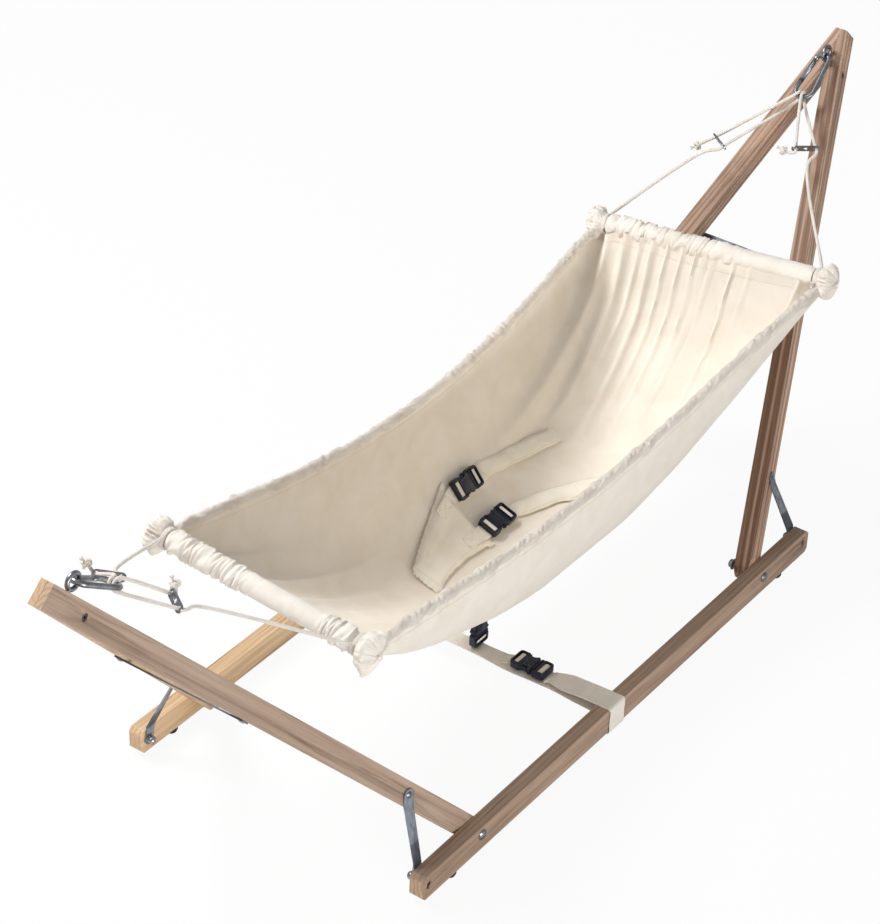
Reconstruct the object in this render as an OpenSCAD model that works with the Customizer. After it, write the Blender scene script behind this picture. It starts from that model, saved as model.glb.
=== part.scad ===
// Cradle hung between the tips of a bolted wooden stand.
// X runs along the floor rails towards the head end, Y to the left, Z up.
// The origin lies on the floor, in the middle of the footprint.

/* [Rails] */
// Length of each floor rail
rail_len = 900; // [860:5:1000]
// Thickness of a rail, across the stand
rail_t = 20; // [18:1:26]
// Height of a rail
rail_h = 36; // [32:1:44]
// Overall width over both rails
stand_w = 454; // [440:2:520]
// Corner cut on the rail ends
rail_chamfer = 6; // [3:1:9]
// Height of a rubber foot
foot_h = 8; // [6:1:12]
// Radius of a rubber foot
foot_r = 9; // [7:0.5:10]
// Distance of a rubber foot from the middle of the stand
foot_x = 382; // [370:1:392]

/* [A-frames] */
// Distance of a frame hinge from the middle of the stand
hinge_x = 330; // [320:1:340]
// Height of the frame hinge above the floor
hinge_z = 32; // [30:0.5:34]
// Angle of a frame above the floor
frame_rise = 47.8; // [45:0.2:52]
// Length of a frame from hinge to tip
frame_len = 743; // [700:1:760]
// Width of a leg, in the plane of its frame
leg_w = 24; // [22:1:28]
// Depth of a leg, square to its frame
leg_d = 30; // [26:1:32]
// Half width of the two joined legs at the tip
tip_half = 9; // [8:0.5:11]
// Length of the flat on a leg above its hinge
bevel_len = 18; // [15:1:24]
// Distance of the cross bolt from the tip
cross_bolt_back = 58; // [54:1:62]
// Distance of the eye bolt from the tip
eye_back = 42; // [38:1:44]
// Distance of the crossbar from the hinge
crossbar_v = 406; // [380:2:430]
// Width of the steel crossbar
crossbar_w = 15; // [12:1:18]
// Thickness of the steel crossbar
crossbar_t = 2; // [1.5:0.5:3]

/* [Struts] */
// Distance of the strut pivot from the frame hinge, along the leg
strut_v = 128; // [124:1:134]
// Distance of the rail end bolt from the middle of the stand
end_bolt_x = 437; // [430:0.5:438]
// Height of the rail end bolt
end_bolt_z = 28; // [26:0.5:30]
// Width of a strut
strut_w = 15; // [14:1:16]
// Thickness of a strut
strut_t = 2; // [1.5:0.5:2.5]
// Length of a strut's flat below its upper screw
strut_top_flat = 14; // [12:1:18]
// Length of a strut's flat above the end bolt
strut_foot_flat = 20; // [16:1:24]

/* [Fasteners] */
// Shank radius of the hinge, cross and end bolts
bolt_r = 3; // [2.5:0.25:3.5]
// Radius of a domed bolt head
dome_r = 7; // [6:0.5:8]
// Height of a domed bolt head
dome_h = 3; // [2:0.5:4]
// Radius of the recess for a sunk bolt head
recess_r = 5.5; // [5:0.5:6.5]
// Depth of that recess
recess_d = 6; // [5:0.5:8]
// Radius of a cap nut
cap_r = 5.5; // [5:0.5:6.5]
// Height of a cap nut
cap_h = 9; // [7:0.5:10]
// Shank radius of a wood screw
screw_r = 2; // [1.5:0.25:2.5]
// Head radius of a wood screw
screw_head_r = 4.5; // [4:0.5:5.5]
// Length of a wood screw under its head
screw_len = 16; // [12:1:18]

/* [Hooks] */
// Radius of the eye bolt's ring, to the middle of its wire
eye_ring_r = 9.5; // [9.5:0.25:11]
// Wire radius of the eye bolt's ring
eye_wire_r = 2.8; // [2.4:0.1:2.8]
// Overall length of a snap hook
hook_len = 80; // [78:1:90]
// Wire radius of a snap hook
hook_wire_r = 3.5; // [3:0.25:3.5]
// Radius of a snap hook's narrow bow
hook_small_r = 9; // [9:0.5:10]
// Radius of a snap hook's wide bow
hook_big_r = 13; // [13:0.5:15]

/* [Hammock] */
// Distance of the foot spreader rod from the middle of the stand
foot_rod_x = -469; // [-480:1:-460]
// Height of the foot spreader rod
foot_rod_z = 374; // [366:1:382]
// Half length of the foot spreader rod
foot_rod_half = 162; // [150:1:166]
// Roll of the foot spreader rod, as its cords are set
foot_rod_roll = 4.2; // [0:0.2:5]
// Distance of the head spreader rod from the middle of the stand
head_rod_x = 504; // [496:1:510]
// Height of the head spreader rod
head_rod_z = 379; // [372:1:386]
// Half length of the head spreader rod
head_rod_half = 182; // [170:1:186]
// Roll of the head spreader rod, as its cords are set
head_rod_roll = -3.6; // [-5:0.2:0]
// Turn of the head spreader rod, as its cords are set
head_rod_turn = 5; // [0:0.2:6]
// Radius of a spreader rod
rod_r = 10; // [9:0.5:11]
// Outer radius of the gathered sleeve on a rod
sleeve_r = 15; // [14:0.5:17]
// Depth of the cloth below its side hems
cloth_depth = 192; // [150:2:196]
// How much shallower the cloth is at its foot end, as a share of its depth
cloth_taper = 0.13; // [0:0.01:0.2]
// Sag of the cloth's side edges between the rods
hem_sag = 67; // [40:1:70]
// How far the right side edge hangs below the left one, halved
hem_tilt = 10; // [0:1:12]
// How far the side hems draw in, as a share of their half width
hem_waist = 0.17; // [0.1:0.01:0.2]
// Thickness of the cloth shell
cloth_t = 3; // [2:0.5:3]
// Radius of a rolled side hem
hem_r = 6; // [5:0.5:7]

/* [Cords] */
// Radius of a hanging cord
cord_r = 2.25; // [2:0.05:2.25]
// Thickness of a cord adjuster plate
adjuster_t = 2; // [1.5:0.25:2.5]
// Width of a cord adjuster plate
adjuster_w = 11; // [10:0.5:12]
// Distance between the outer holes of an adjuster
adjuster_pitch = 28; // [27.5:0.25:28.5]

/* [Straps] */
// Width of the anchor band
band_w = 34; // [32:1:40]
// Thickness of the anchor band
band_t = 1.5; // [1:0.25:1.75]
// Place of the anchor band along the rails
band_x = -34; // [-60:2:40]
// Height of the band between the rails
band_mid_z = 34; // [32:0.5:36]
// Length of a side release buckle
buckle_len = 52; // [50:1:58]
// Width of a side release buckle
buckle_w = 30; // [29:1:34]
// Thickness of a side release buckle
buckle_t = 11; // [9:0.5:12]
// Width of the tether and harness webbing
webbing_w = 22; // [18:1:23]
// Thickness of the webbing
webbing_t = 1.6; // [1:0.2:2]
// How far right of the middle the tether hangs
tether_off = 12; // [0:1:14]
// Webbing between the tether's buckle and the band
tether_tail = 3; // [1:0.5:8]
// Thickness of the padded crotch panel
panel_t = 5; // [4:0.5:6]

/* [Hidden] */
$fn = 48;
seat_gap = 0.3;
fit_gap = 0.25;
drape_gap = 1.1;
tuck_gap = 1.2;
thin_fn = 24;

wood = [0.74, 0.6, 0.47];
steel = [0.62, 0.64, 0.67];
cotton = [0.95, 0.91, 0.82];
rubber = [0.08, 0.08, 0.08];
buckle_blue = [0.07, 0.09, 0.16];

// Rails
inner_y = stand_w / 2 - rail_t;
rail_top = foot_h + rail_h;

// Frames, in their own axes: X along the frame, Z towards the cradle
leg_y = inner_y - seat_gap;
leg_slope = (leg_y - tip_half) / (frame_len - bevel_len);
leg_angle = atan(leg_slope);
leg_across = leg_w / cos(leg_angle);
cross_bolt_v = frame_len - cross_bolt_back;
eye_v = frame_len - eye_back;
inboard_z = leg_d / 2;

// Outer side of a leg at a distance along the frame
function leg_out(v) = leg_y - leg_slope * (v - bevel_len);

// A point of the head frame in the stand's axes
function frame_point(v, y, n) = [
  hinge_x + v * cos(frame_rise) - n * sin(frame_rise),
  y,
  hinge_z + v * sin(frame_rise) + n * cos(frame_rise)];

// Struts
strut_y = leg_out(strut_v);
strut_seat = frame_point(strut_v, strut_y, 0);

// Hooks
eye_n = inboard_z + seat_gap + eye_ring_r + eye_wire_r;
eye_centre = frame_point(eye_v, 0, eye_n);
hook_seat = eye_ring_r - eye_wire_r - hook_wire_r - seat_gap;
hook_span = hook_len - 2 * hook_wire_r;
hook_mid = hook_span - hook_small_r - hook_big_r;
head_drop = atan2(eye_centre[2] - head_rod_z, eye_centre[0] - head_rod_x);
foot_drop = atan2(eye_centre[2] - foot_rod_z, eye_centre[0] + foot_rod_x);
gate_lift = asin((hook_big_r - hook_small_r) / hook_mid);
gate_len = 30;
gate_from = 8;

// Rods and sleeves
head_half = [-head_rod_half * cos(head_rod_roll) * sin(head_rod_turn),
  head_rod_half * cos(head_rod_roll) * cos(head_rod_turn),
  head_rod_half * sin(head_rod_roll)];
foot_half = [0, foot_rod_half * cos(foot_rod_roll), foot_rod_half * sin(foot_rod_roll)];
head_mid = [head_rod_x, 0, head_rod_z];
foot_mid = [foot_rod_x, 0, foot_rod_z];
rosette_len = 16;
rosette_r = sleeve_r + 1.5;
knot_back = 22;
knot_ring_r = rod_r + cord_r + seat_gap;
sleeve_end_back = knot_back + cord_r + 3;

// Cloth surface: s runs from foot to head, a from the right hem to the left hem in degrees
section_power = 0.83;
foot_power = 0.5;
foot_power_end = 0.35;
head_rise = [3, 0.66];
foot_rise = [2, 0.8];
function mix(a, b, s) = a + (b - a) * s;
function bow(s) = 4 * s * (1 - s);
function ease(t) = t * t * (3 - 2 * t);
function power_at(s) = mix(foot_power, section_power, ease(min(s / foot_power_end, 1)));
function rise(s) = s < 0.5 ? foot_rise : head_rise;
function depth(s) = cloth_depth * (1 - cloth_taper * (1 - s)) * pow(1 - pow(abs(2 * s - 1), rise(s)[0]), rise(s)[1]);
function tuck(s) = (rosette_r + tuck_gap) * pow(1 - bow(s), 5);
function swing_out(s, a) = -sign(cos(a)) * pow(abs(cos(a)), power_at(s));
function cloth_point(s, a) =
  mix(foot_mid, head_mid, s)
  + mix(foot_half, head_half, s) * (1 - hem_waist * bow(s)) * 0.94 * swing_out(s, a)
  - [0, 0, tuck(s) + (hem_sag - hem_tilt * swing_out(s, a)) * pow(bow(s), 1.2)
    + depth(s) * pow(abs(sin(a)), power_at(s))];
function unit(v) = v / norm(v);
function cloth_normal(s, a) =
  let (ds = cloth_point(min(s + 0.004, 1), a) - cloth_point(max(s - 0.004, 0), a),
       da = cloth_point(s, min(a + 1, 180)) - cloth_point(s, max(a - 1, 0)))
  unit(cross(da, ds));
function cloth_at(s, a, h) = cloth_point(s, a) + cloth_normal(s, a) * h;

// Place of the tether on the cloth
tether_s = (band_x - foot_rod_x) / (head_rod_x - foot_rod_x);
tether_half = mix(foot_half, head_half, tether_s)[1] * (1 - hem_waist * bow(tether_s)) * 0.94;
tether_a = acos(pow(tether_off / tether_half, 1 / power_at(tether_s)));

// Cord routes, each from its rod knot through the adjuster, round the hook and back
head_right_route = [
  [530.5, -157.5, 398], [536, -153, 401.5], [641.5, -62, 475], [663.5, -62, 484], [672.5, -53, 490],
  [723.5, -3, 522], [725.5, -3, 526], [724, -3, 531], [720, -3, 534], [715.5, -3, 533.5],
  [655, -33.5, 490.5], [645.5, -38.5, 484], [642.5, -29.5, 482], [641.5, -18.5, 484]];
head_left_route = [
  [502.5, 160.5, 378], [508.5, 157, 382], [612.5, 85, 455.5], [617.5, 63.5, 465.5], [628.5, 57.5, 471.5],
  [723.5, 3, 522], [725.5, 3, 526], [724, 3, 531], [720, 3, 534], [715.5, 3, 533.5],
  [643, 79, 472], [635.5, 87.5, 465.5], [626.5, 94.5, 461.5], [618.5, 103.5, 455.5]];
foot_right_route = [
  [-482, -140, 371.5], [-488, -136.5, 375.5], [-633, -40.5, 468.5], [-654.5, -42.5, 477.5], [-665, -36.5, 484.5],
  [-721.5, -3, 524.5], [-723.5, -3, 528.5], [-722.5, -3, 533.5], [-718.5, -3, 536.5], [-714, -3, 536.5],
  [-649.5, -15.5, 485.5], [-639.5, -17, 477.5], [-635.5, -14, 481.5], [-635.5, -11, 490.5]];
foot_left_route = [
  [-482.5, 139, 392], [-489, 136, 395], [-652, 58, 481], [-661.5, 38.5, 489], [-672.5, 32, 495],
  [-721.5, 3, 524.5], [-723.5, 3, 528.5], [-722.5, 3, 533.5], [-718.5, 3, 536.5], [-714, 3, 536.5],
  [-682, 55.5, 496], [-676.5, 65, 488.5], [-678.5, 70, 495.5], [-684.5, 73, 506.5]];

// A tube swept along a route
function tangent(p, i) =
  unit((i < len(p) - 1 ? p[i + 1] : p[i]) - (i > 0 ? p[i - 1] : p[i]));
function side_of(t, up) = unit(cross(t, abs(t * up) > 0.95 ? [1, 0, 0] : up));
function frames(p, i, prev) =
  let (t = tangent(p, i), f = unit(prev - t * (prev * t)))
  i == len(p) - 1 ? [f] : concat([f], frames(p, i + 1, f));

module tube(p, r, sides) {
  first = side_of(tangent(p, 0), [0, 0, 1]);
  fs = frames(p, 0, first);
  points = [for (i = [0:len(p) - 1]) for (k = [0:sides - 1])
    let (t = tangent(p, i), f = fs[i], g = cross(t, f), a = 360 * k / sides)
    p[i] + (f * cos(a) + g * sin(a)) * r];
  walls = [for (i = [0:len(p) - 2]) for (k = [0:sides - 1])
    let (a = i * sides + k, b = i * sides + (k + 1) % sides)
    [a, a + sides, b + sides, b]];
  polyhedron(points,
    concat(walls, [[for (k = [0:sides - 1]) k]],
      [[for (k = [sides - 1:-1:0]) (len(p) - 1) * sides + k]]),
    convexity = 6);
}

// A solid patch that follows the cloth between two heights above it
module cloth_patch(s_list, a_list, low, high) {
  n_s = len(s_list);
  n_a = len(a_list[0]);
  layer = n_s * n_a;
  points = concat(
    [for (i = [0:n_s - 1]) for (j = [0:n_a - 1]) cloth_at(s_list[i], a_list[i][j], low)],
    [for (i = [0:n_s - 1]) for (j = [0:n_a - 1]) cloth_at(s_list[i], a_list[i][j], high)]);
  under = [for (i = [0:n_s - 2]) for (j = [0:n_a - 2]) for (f = [0, 1])
    let (q = i * n_a + j)
    f == 0 ? [q, q + 1, q + n_a] : [q + 1, q + n_a + 1, q + n_a]];
  over = [for (f = under) [f[2] + layer, f[1] + layer, f[0] + layer]];
  rim = concat(
    [for (j = [0:n_a - 1]) j],
    [for (i = [1:n_s - 1]) i * n_a + n_a - 1],
    [for (j = [n_a - 2:-1:0]) (n_s - 1) * n_a + j],
    [for (i = [n_s - 2:-1:1]) i * n_a]);
  n_r = len(rim);
  skirt = [for (k = [0:n_r - 1]) for (f = [0, 1])
    let (a = rim[k], b = rim[(k + 1) % n_r])
    f == 0 ? [a, b + layer, b] : [a, a + layer, b + layer]];
  polyhedron(points, concat(under, over, skirt), convexity = 8);
}

// Outline of a ribbon of some thickness along a flat path
function turn(v) = [-v[1], v[0]];
function ribbon_side(p, h) = [for (i = [0:len(p) - 1])
  let (a = i > 0 ? unit(p[i] - p[i - 1]) : unit(p[1] - p[0]),
       b = i < len(p) - 1 ? unit(p[i + 1] - p[i]) : a,
       m = unit(turn(a) + turn(b)))
  p[i] + m * h / (m * turn(a))];
function reversed(p) = [for (i = [len(p) - 1:-1:0]) p[i]];
function ribbon(p, t) = concat(ribbon_side(p, t / 2), reversed(ribbon_side(p, -t / 2)));

module both_ends() {
  children();
  mirror([1, 0, 0]) children();
}

module both_sides() {
  children();
  mirror([0, 1, 0]) children();
}

module in_frame() {
  translate([hinge_x, 0, hinge_z]) rotate([0, -frame_rise, 0]) children();
}

// A round bar along +Y from a point
module bar_y(r, length, from = 0) {
  translate([0, from, 0]) rotate([-90, 0, 0]) cylinder(r = r, h = length);
}

// A domed cap along +Y, standing on the XZ plane
module dome_y(r, h) {
  rotate([-90, 0, 0]) rotate_extrude() intersection() {
    translate([0, h - (r * r + h * h) / (2 * h)]) circle(r = (r * r + h * h) / (2 * h), $fn = 64);
    square([r, h]);
  }
}

// Left floor rail
module rail() {
  color(wood) difference() {
    translate([0, inner_y + rail_t, 0]) rotate([90, 0, 0]) linear_extrude(rail_t) polygon([
      [-rail_len / 2, foot_h + rail_chamfer], [-rail_len / 2 + rail_chamfer, foot_h],
      [rail_len / 2 - rail_chamfer, foot_h], [rail_len / 2, foot_h + rail_chamfer],
      [rail_len / 2, rail_top - rail_chamfer], [rail_len / 2 - rail_chamfer, rail_top],
      [-rail_len / 2 + rail_chamfer, rail_top], [-rail_len / 2, rail_top - rail_chamfer]]);
    both_ends() {
      translate([hinge_x, inner_y - 1, hinge_z]) bar_y(bolt_r + fit_gap, rail_t + 2);
      translate([end_bolt_x, inner_y - 1, end_bolt_z]) bar_y(bolt_r + fit_gap, rail_t + 2);
      translate([end_bolt_x, inner_y + rail_t - recess_d, end_bolt_z]) bar_y(recess_r, recess_d + 1);
    }
  }
}

module rubber_feet() {
  color(rubber) both_ends() both_sides() translate([foot_x, inner_y + rail_t / 2, 0]) difference() {
    union() {
      cylinder(r1 = foot_r - 1.5, r2 = foot_r, h = foot_h * 0.4);
      translate([0, 0, foot_h * 0.4]) cylinder(r = foot_r, h = foot_h * 0.6);
    }
    translate([0, 0, -1]) cylinder(r = screw_head_r - 1, h = foot_h / 2);
  }
}

// Frame hinge bolt through the rail and the leg, with a domed head outside
hinge_grip = leg_across + rail_t + 2 * seat_gap;
nut_h = 5;
nut_across = 10;
nut_recess_r = nut_across / 2 / cos(30) + seat_gap;

module hinge_bolts() {
  color(steel) both_ends() both_sides() translate([hinge_x, 0, hinge_z]) {
    translate([0, inner_y + rail_t + seat_gap, 0]) bar_y(dome_r, 1);
    translate([0, inner_y + rail_t + seat_gap + 1, 0]) dome_y(dome_r, dome_h);
    translate([0, inner_y + rail_t + seat_gap, 0]) rotate([180, 0, 0])
      bar_y(bolt_r, hinge_grip + nut_h + 4);
  }
}

module hinge_nuts() {
  color(steel) both_ends() both_sides() translate([hinge_x, inner_y - leg_across - 3 * seat_gap - 1, hinge_z])
    rotate([90, 0, 0]) {
      difference() {
        cylinder(r = dome_r + 1, h = 1);
        translate([0, 0, -1]) cylinder(r = bolt_r + fit_gap, h = 3);
      }
      translate([0, 0, 1]) difference() {
        cylinder(r = nut_across / 2 / cos(30), h = nut_h, $fn = 6);
        translate([0, 0, -1]) cylinder(r = bolt_r + 0.02, h = nut_h + 2);
      }
    }
}

// Rail end bolt with its head sunk in the rail
end_bolt_tail = strut_t + seat_gap + cap_h * 0.6;

module end_bolts() {
  color(steel) both_ends() both_sides() translate([end_bolt_x, 0, end_bolt_z]) difference() {
    union() {
      translate([0, inner_y - end_bolt_tail, 0]) bar_y(bolt_r, rail_t - recess_d + end_bolt_tail + 1);
      translate([0, inner_y + rail_t - recess_d + 0.1, 0]) bar_y(recess_r - 0.5, 4);
    }
    translate([0, inner_y + rail_t - recess_d + 2, 0]) rotate([-90, 0, 0]) cylinder(r = 1.9, h = 4, $fn = 6);
  }
}

module cap_nuts() {
  color(steel) both_ends() both_sides()
    translate([end_bolt_x, inner_y - strut_t - 2 * seat_gap, end_bolt_z]) mirror([0, 1, 0]) difference() {
      union() {
        bar_y(cap_r + 1.5, 1);
        bar_y(cap_r, cap_h * 0.55);
        translate([0, cap_h * 0.55, 0]) dome_y(cap_r, cap_h * 0.45);
      }
      translate([0, -1, 0]) bar_y(bolt_r + 0.02, cap_h * 0.6 + 1);
    }
}

// Left leg of the head frame, in frame axes
module frame_leg() {
  color(wood) in_frame() difference() {
    intersection() {
      translate([0, 0, -leg_d / 2]) linear_extrude(leg_d) polygon([
        [-leg_d / 2, leg_y], [bevel_len, leg_y],
        [frame_len, tip_half], [frame_len, seat_gap / 2],
        [frame_len - (leg_across - tip_half + seat_gap / 2) / leg_slope, seat_gap / 2],
        [-leg_d / 2, leg_out(-leg_d / 2) - leg_across]]);
      union() {
        translate([0, -1, -leg_d / 2]) cube([frame_len, inner_y + 2, leg_d]);
        bar_y(leg_d / 2, inner_y + 2, -1);
      }
    }
    bar_y(bolt_r + fit_gap, inner_y + 1);
    // Flat seat for the hinge washer
    translate([0, -1, 0]) bar_y(dome_r + 2, leg_y - leg_across + 1 - seat_gap);
    translate([cross_bolt_v, -1, 0]) bar_y(bolt_r + fit_gap, inner_y);
    translate([cross_bolt_v, leg_out(cross_bolt_v) - recess_d, 0]) bar_y(recess_r, recess_d + 8);
    translate([eye_v, 0, -leg_d]) cylinder(r = bolt_r + fit_gap, h = 2 * leg_d);
    // Recess for the eye bolt's nut
    translate([eye_v, 0, -inboard_z - 1]) cylinder(r = nut_recess_r, h = recess_d + 1);
    // Pilot hole for the strut screw
    translate([strut_v, strut_y, 0]) rotate([0, 0, -leg_angle])
      translate([0, -screw_len, 0]) bar_y(screw_r, screw_len + 1);
    // Pilot hole for the crossbar screw
    translate([crossbar_v, leg_out(crossbar_v) - leg_across / 2, -leg_d / 2 - 1])
      cylinder(r = screw_r, h = screw_len + 1);
  }
}

// Bolt that joins the two legs below the tip
module cross_bolt() {
  reach = leg_out(cross_bolt_v) - recess_d;
  color(steel) in_frame() translate([cross_bolt_v, 0, 0]) {
    bar_y(bolt_r, 2 * reach + 2, -reach - 1);
    both_sides() difference() {
      translate([0, reach + 0.1, 0]) bar_y(recess_r - 0.5, 4);
      translate([0, reach + 1.1, 0]) rotate([-90, 0, 0]) cylinder(r = 1.9, h = 4, $fn = 6);
    }
  }
}

// Eye bolt through the seam between the legs, with its ring towards the cradle
module eye_bolt() {
  color(steel) in_frame() translate([eye_v, 0, 0]) {
    translate([0, 0, eye_n]) rotate([90, 0, 0]) rotate_extrude() translate([eye_ring_r, 0]) circle(r = eye_wire_r);
    translate([0, 0, -inboard_z]) cylinder(r = bolt_r, h = leg_d + seat_gap + eye_wire_r);
    translate([0, 0, recess_d - inboard_z - seat_gap - nut_h]) cylinder(r = nut_across / 2 / cos(30), h = nut_h, $fn = 6);
  }
}

// Flat steel bar across the outboard face of a frame
crossbar_half = leg_out(crossbar_v) - leg_across / 2;

module crossbar() {
  color(steel) in_frame() translate([crossbar_v, 0, -inboard_z - seat_gap - crossbar_t]) difference() {
    union() {
      translate([-crossbar_w / 2, -crossbar_half, 0]) cube([crossbar_w, 2 * crossbar_half, crossbar_t]);
      both_sides() translate([0, crossbar_half, 0]) cylinder(r = crossbar_w / 2, h = crossbar_t);
    }
    both_sides() translate([0, crossbar_half, -1]) cylinder(r = screw_r + fit_gap, h = crossbar_t + 2);
  }
}

// Wood screw along +Z with its head below the XY plane
module wood_screw() {
  translate([0, 0, 0]) cylinder(r = screw_r - 0.02, h = screw_len);
  mirror([0, 0, 1]) rotate_extrude() intersection() {
    translate([0, -screw_head_r * 1.2]) circle(r = sqrt(pow(screw_head_r, 2) + pow(screw_head_r * 1.2, 2)), $fn = 64);
    square([screw_head_r, 3]);
  }
}

module crossbar_screws() {
  color(steel) in_frame() both_sides()
    translate([crossbar_v, crossbar_half, -inboard_z - 1.5 * seat_gap - crossbar_t]) wood_screw();
}

module strut_screws() {
  color(steel) both_sides() in_frame() translate([strut_v, strut_y, 0])
    rotate([0, 0, -leg_angle]) translate([0, strut_t + 1.5 * seat_gap, 0]) rotate([90, 0, 0]) wood_screw();
}

// Left strut of the head frame, a flat strip bent where it leaves the leg and the rail
strut_lean = atan2(strut_seat[0] - end_bolt_x, strut_seat[2] - end_bolt_z);
bend_len = 0.6;
bend_inset = 0.15;

// Flat end of the strip round its bolt or screw, running up along Z
module strut_flat(length) {
  rotate([90, 0, 0]) translate([0, 0, -strut_t]) linear_extrude(strut_t) {
    circle(r = strut_w / 2);
    translate([-strut_w / 2, 0]) square([strut_w, length]);
  }
}

// End of the leaning stretch, inside the flat's edge
module strut_bend(length) {
  translate([bend_inset - strut_w / 2, bend_inset, length - bend_len])
    cube([strut_w - 2 * bend_inset, strut_t - 2 * bend_inset, bend_len / 2]);
}

module at_strut_top() {
  in_frame() translate([strut_v, strut_y, 0]) rotate([0, 0, -leg_angle])
    translate([0, seat_gap, 0]) rotate([0, frame_rise + 180 + strut_lean, 0]) children();
}

module at_strut_foot() {
  translate([end_bolt_x, inner_y - seat_gap - strut_t, end_bolt_z]) rotate([0, strut_lean, 0]) children();
}

module strut() {
  color(steel) difference() {
    union() {
      at_strut_top() strut_flat(strut_top_flat);
      hull() {
        at_strut_top() strut_bend(strut_top_flat);
        at_strut_foot() strut_bend(strut_foot_flat);
      }
      at_strut_foot() strut_flat(strut_foot_flat);
    }
    in_frame() translate([strut_v, strut_y, 0]) rotate([0, 0, -leg_angle]) bar_y(screw_r + fit_gap, 20, -5);
    translate([end_bolt_x, inner_y - 20, end_bolt_z]) bar_y(bolt_r + fit_gap, 30);
  }
}

// Snap hook in its own axes: X from the narrow bow to the wide bow, Z square to it
function bow_points(x, r, from, to, n) =
  [for (i = [0:n]) let (a = mix(from, to, i / n)) [x + r * cos(a), r * sin(a), 0]];
small_end = [hook_small_r * (1 - sin(gate_lift)), hook_small_r * cos(gate_lift), 0];
big_end = [hook_small_r + hook_mid - hook_big_r * sin(gate_lift), hook_big_r * cos(gate_lift), 0];
gate_way = unit(big_end - small_end);
gate_pin = small_end + gate_way * gate_from;
hook_wire = concat(
  [gate_pin + gate_way * (gate_len + seat_gap)],
  bow_points(hook_small_r + hook_mid, hook_big_r, 90 + gate_lift, -90 - gate_lift, 14),
  bow_points(hook_small_r, hook_small_r, 270 - gate_lift, 90 + gate_lift, 12),
  [gate_pin - gate_way * (hook_wire_r + seat_gap)]);

module hook_body() {
  tube(hook_wire, hook_wire_r, 16);
}

// The gate turns about a rivet in the middle of its round end
module hook_gate() {
  translate(gate_pin) {
    rotate([0, 90, gate_lift]) rotate_extrude() intersection() {
      union() {
        circle(r = hook_wire_r);
        square([hook_wire_r, gate_len]);
      }
      translate([0, -hook_wire_r]) square([hook_wire_r, gate_len + hook_wire_r]);
    }
    translate([0, 0, -hook_wire_r - 0.6]) cylinder(r = 1.4, h = 2 * hook_wire_r + 1.2);
  }
}

module hung(drop) {
  translate(eye_centre) rotate([0, 180 - drop, 0]) mirror([0, 0, 1]) translate([hook_seat, 0, 0])
    children();
}

// Spreader rod along Y
module place_head() {
  translate(head_mid) rotate([head_rod_roll, 0, head_rod_turn]) children();
}

module place_foot() {
  translate(foot_mid) rotate([foot_rod_roll, 0, 0]) children();
}

module rod(half) {
  color(wood) bar_y(rod_r, 2 * half, -half);
}

// Gathered sleeve round a rod, with a rosette at each end
module sleeve(half) {
  color(cotton) {
    difference() {
      bar_y(sleeve_r, 2 * (half - sleeve_end_back), -half + sleeve_end_back);
      bar_y(rod_r + seat_gap, 2 * half, -half);
    }
    both_sides() difference() {
      translate([0, half - rosette_len, 0]) union() {
        bar_y(rosette_r, rosette_len - 4);
        translate([0, rosette_len - 4, 0]) dome_y(rosette_r, 7);
      }
      bar_y(rod_r + seat_gap, half + seat_gap);
    }
  }
}

// Knot of the hanging cord round a rod
module rod_knots(half) {
  both_sides() translate([0, half - knot_back, 0]) rotate([90, 0, 0]) rotate_extrude()
    translate([knot_ring_r, 0]) circle(r = cord_r, $fn = 16);
}

module cord_knots() {
  color(cotton) {
    place_head() rod_knots(head_rod_half);
    place_foot() rod_knots(foot_rod_half);
  }
}

// Cloth shell between the rods
cloth_rows = 30;
cloth_cols = 24;

module hammock_cloth() {
  s_list = [for (i = [0:cloth_rows]) (1 - cos(180 * i / cloth_rows)) / 2];
  a_row = [for (j = [0:cloth_cols]) 180 * j / cloth_cols];
  color(cotton) cloth_patch(s_list, [for (s = s_list) a_row], 0, cloth_t);
}

// Rolled hem along one side of the cloth
hem_end = 0.035;

module side_hem(side) {
  a = side < 0 ? 0 : 180;
  route = [for (i = [0:24])
    let (s = mix(hem_end, 1 - hem_end, i / 24), t = unit(cloth_point(s + 0.01, a) - cloth_point(s - 0.01, a)))
    cloth_point(s, a) + [0, side * cloth_t / 2, 0] + [-t[2], 0, t[0]] * (hem_r + 2 * seat_gap)];
  color(cotton) tube(route, hem_r, 12);
}

// Cords
module cord(route) {
  color(cotton) tube(route, cord_r, 8);
}

// Adjuster plate whose outer holes sit on the two strands of a cord
module adjuster(route) {
  first = (route[3] + route[4]) / 2;
  second = (route[10] + route[11]) / 2;
  along = unit(second - first);
  pull = unit(route[4] - route[3]) + unit(route[10] - route[11]);
  out = unit(pull - along * (pull * along));
  flat = cross(out, along);
  at = (first + second) / 2;
  half = adjuster_pitch / 2;
  multmatrix([
    [flat[0], along[0], out[0], at[0]],
    [flat[1], along[1], out[1], at[1]],
    [flat[2], along[2], out[2], at[2]],
    [0, 0, 0, 1]]) translate([0, 0, -adjuster_t / 2]) difference() {
      union() {
        translate([-adjuster_w / 2, -half, 0]) cube([adjuster_w, 2 * half, adjuster_t]);
        for (e = [-1, 1]) translate([0, e * half, 0]) cylinder(r = adjuster_w / 2, h = adjuster_t);
      }
      for (e = [-1, 0, 1]) translate([0, e * half, -1]) cylinder(r = cord_r + 1, h = adjuster_t + 2);
    }
}

module cord_adjusters() {
  color(steel) for (route = [head_right_route, head_left_route, foot_right_route, foot_left_route])
    adjuster(route);
}

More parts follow.
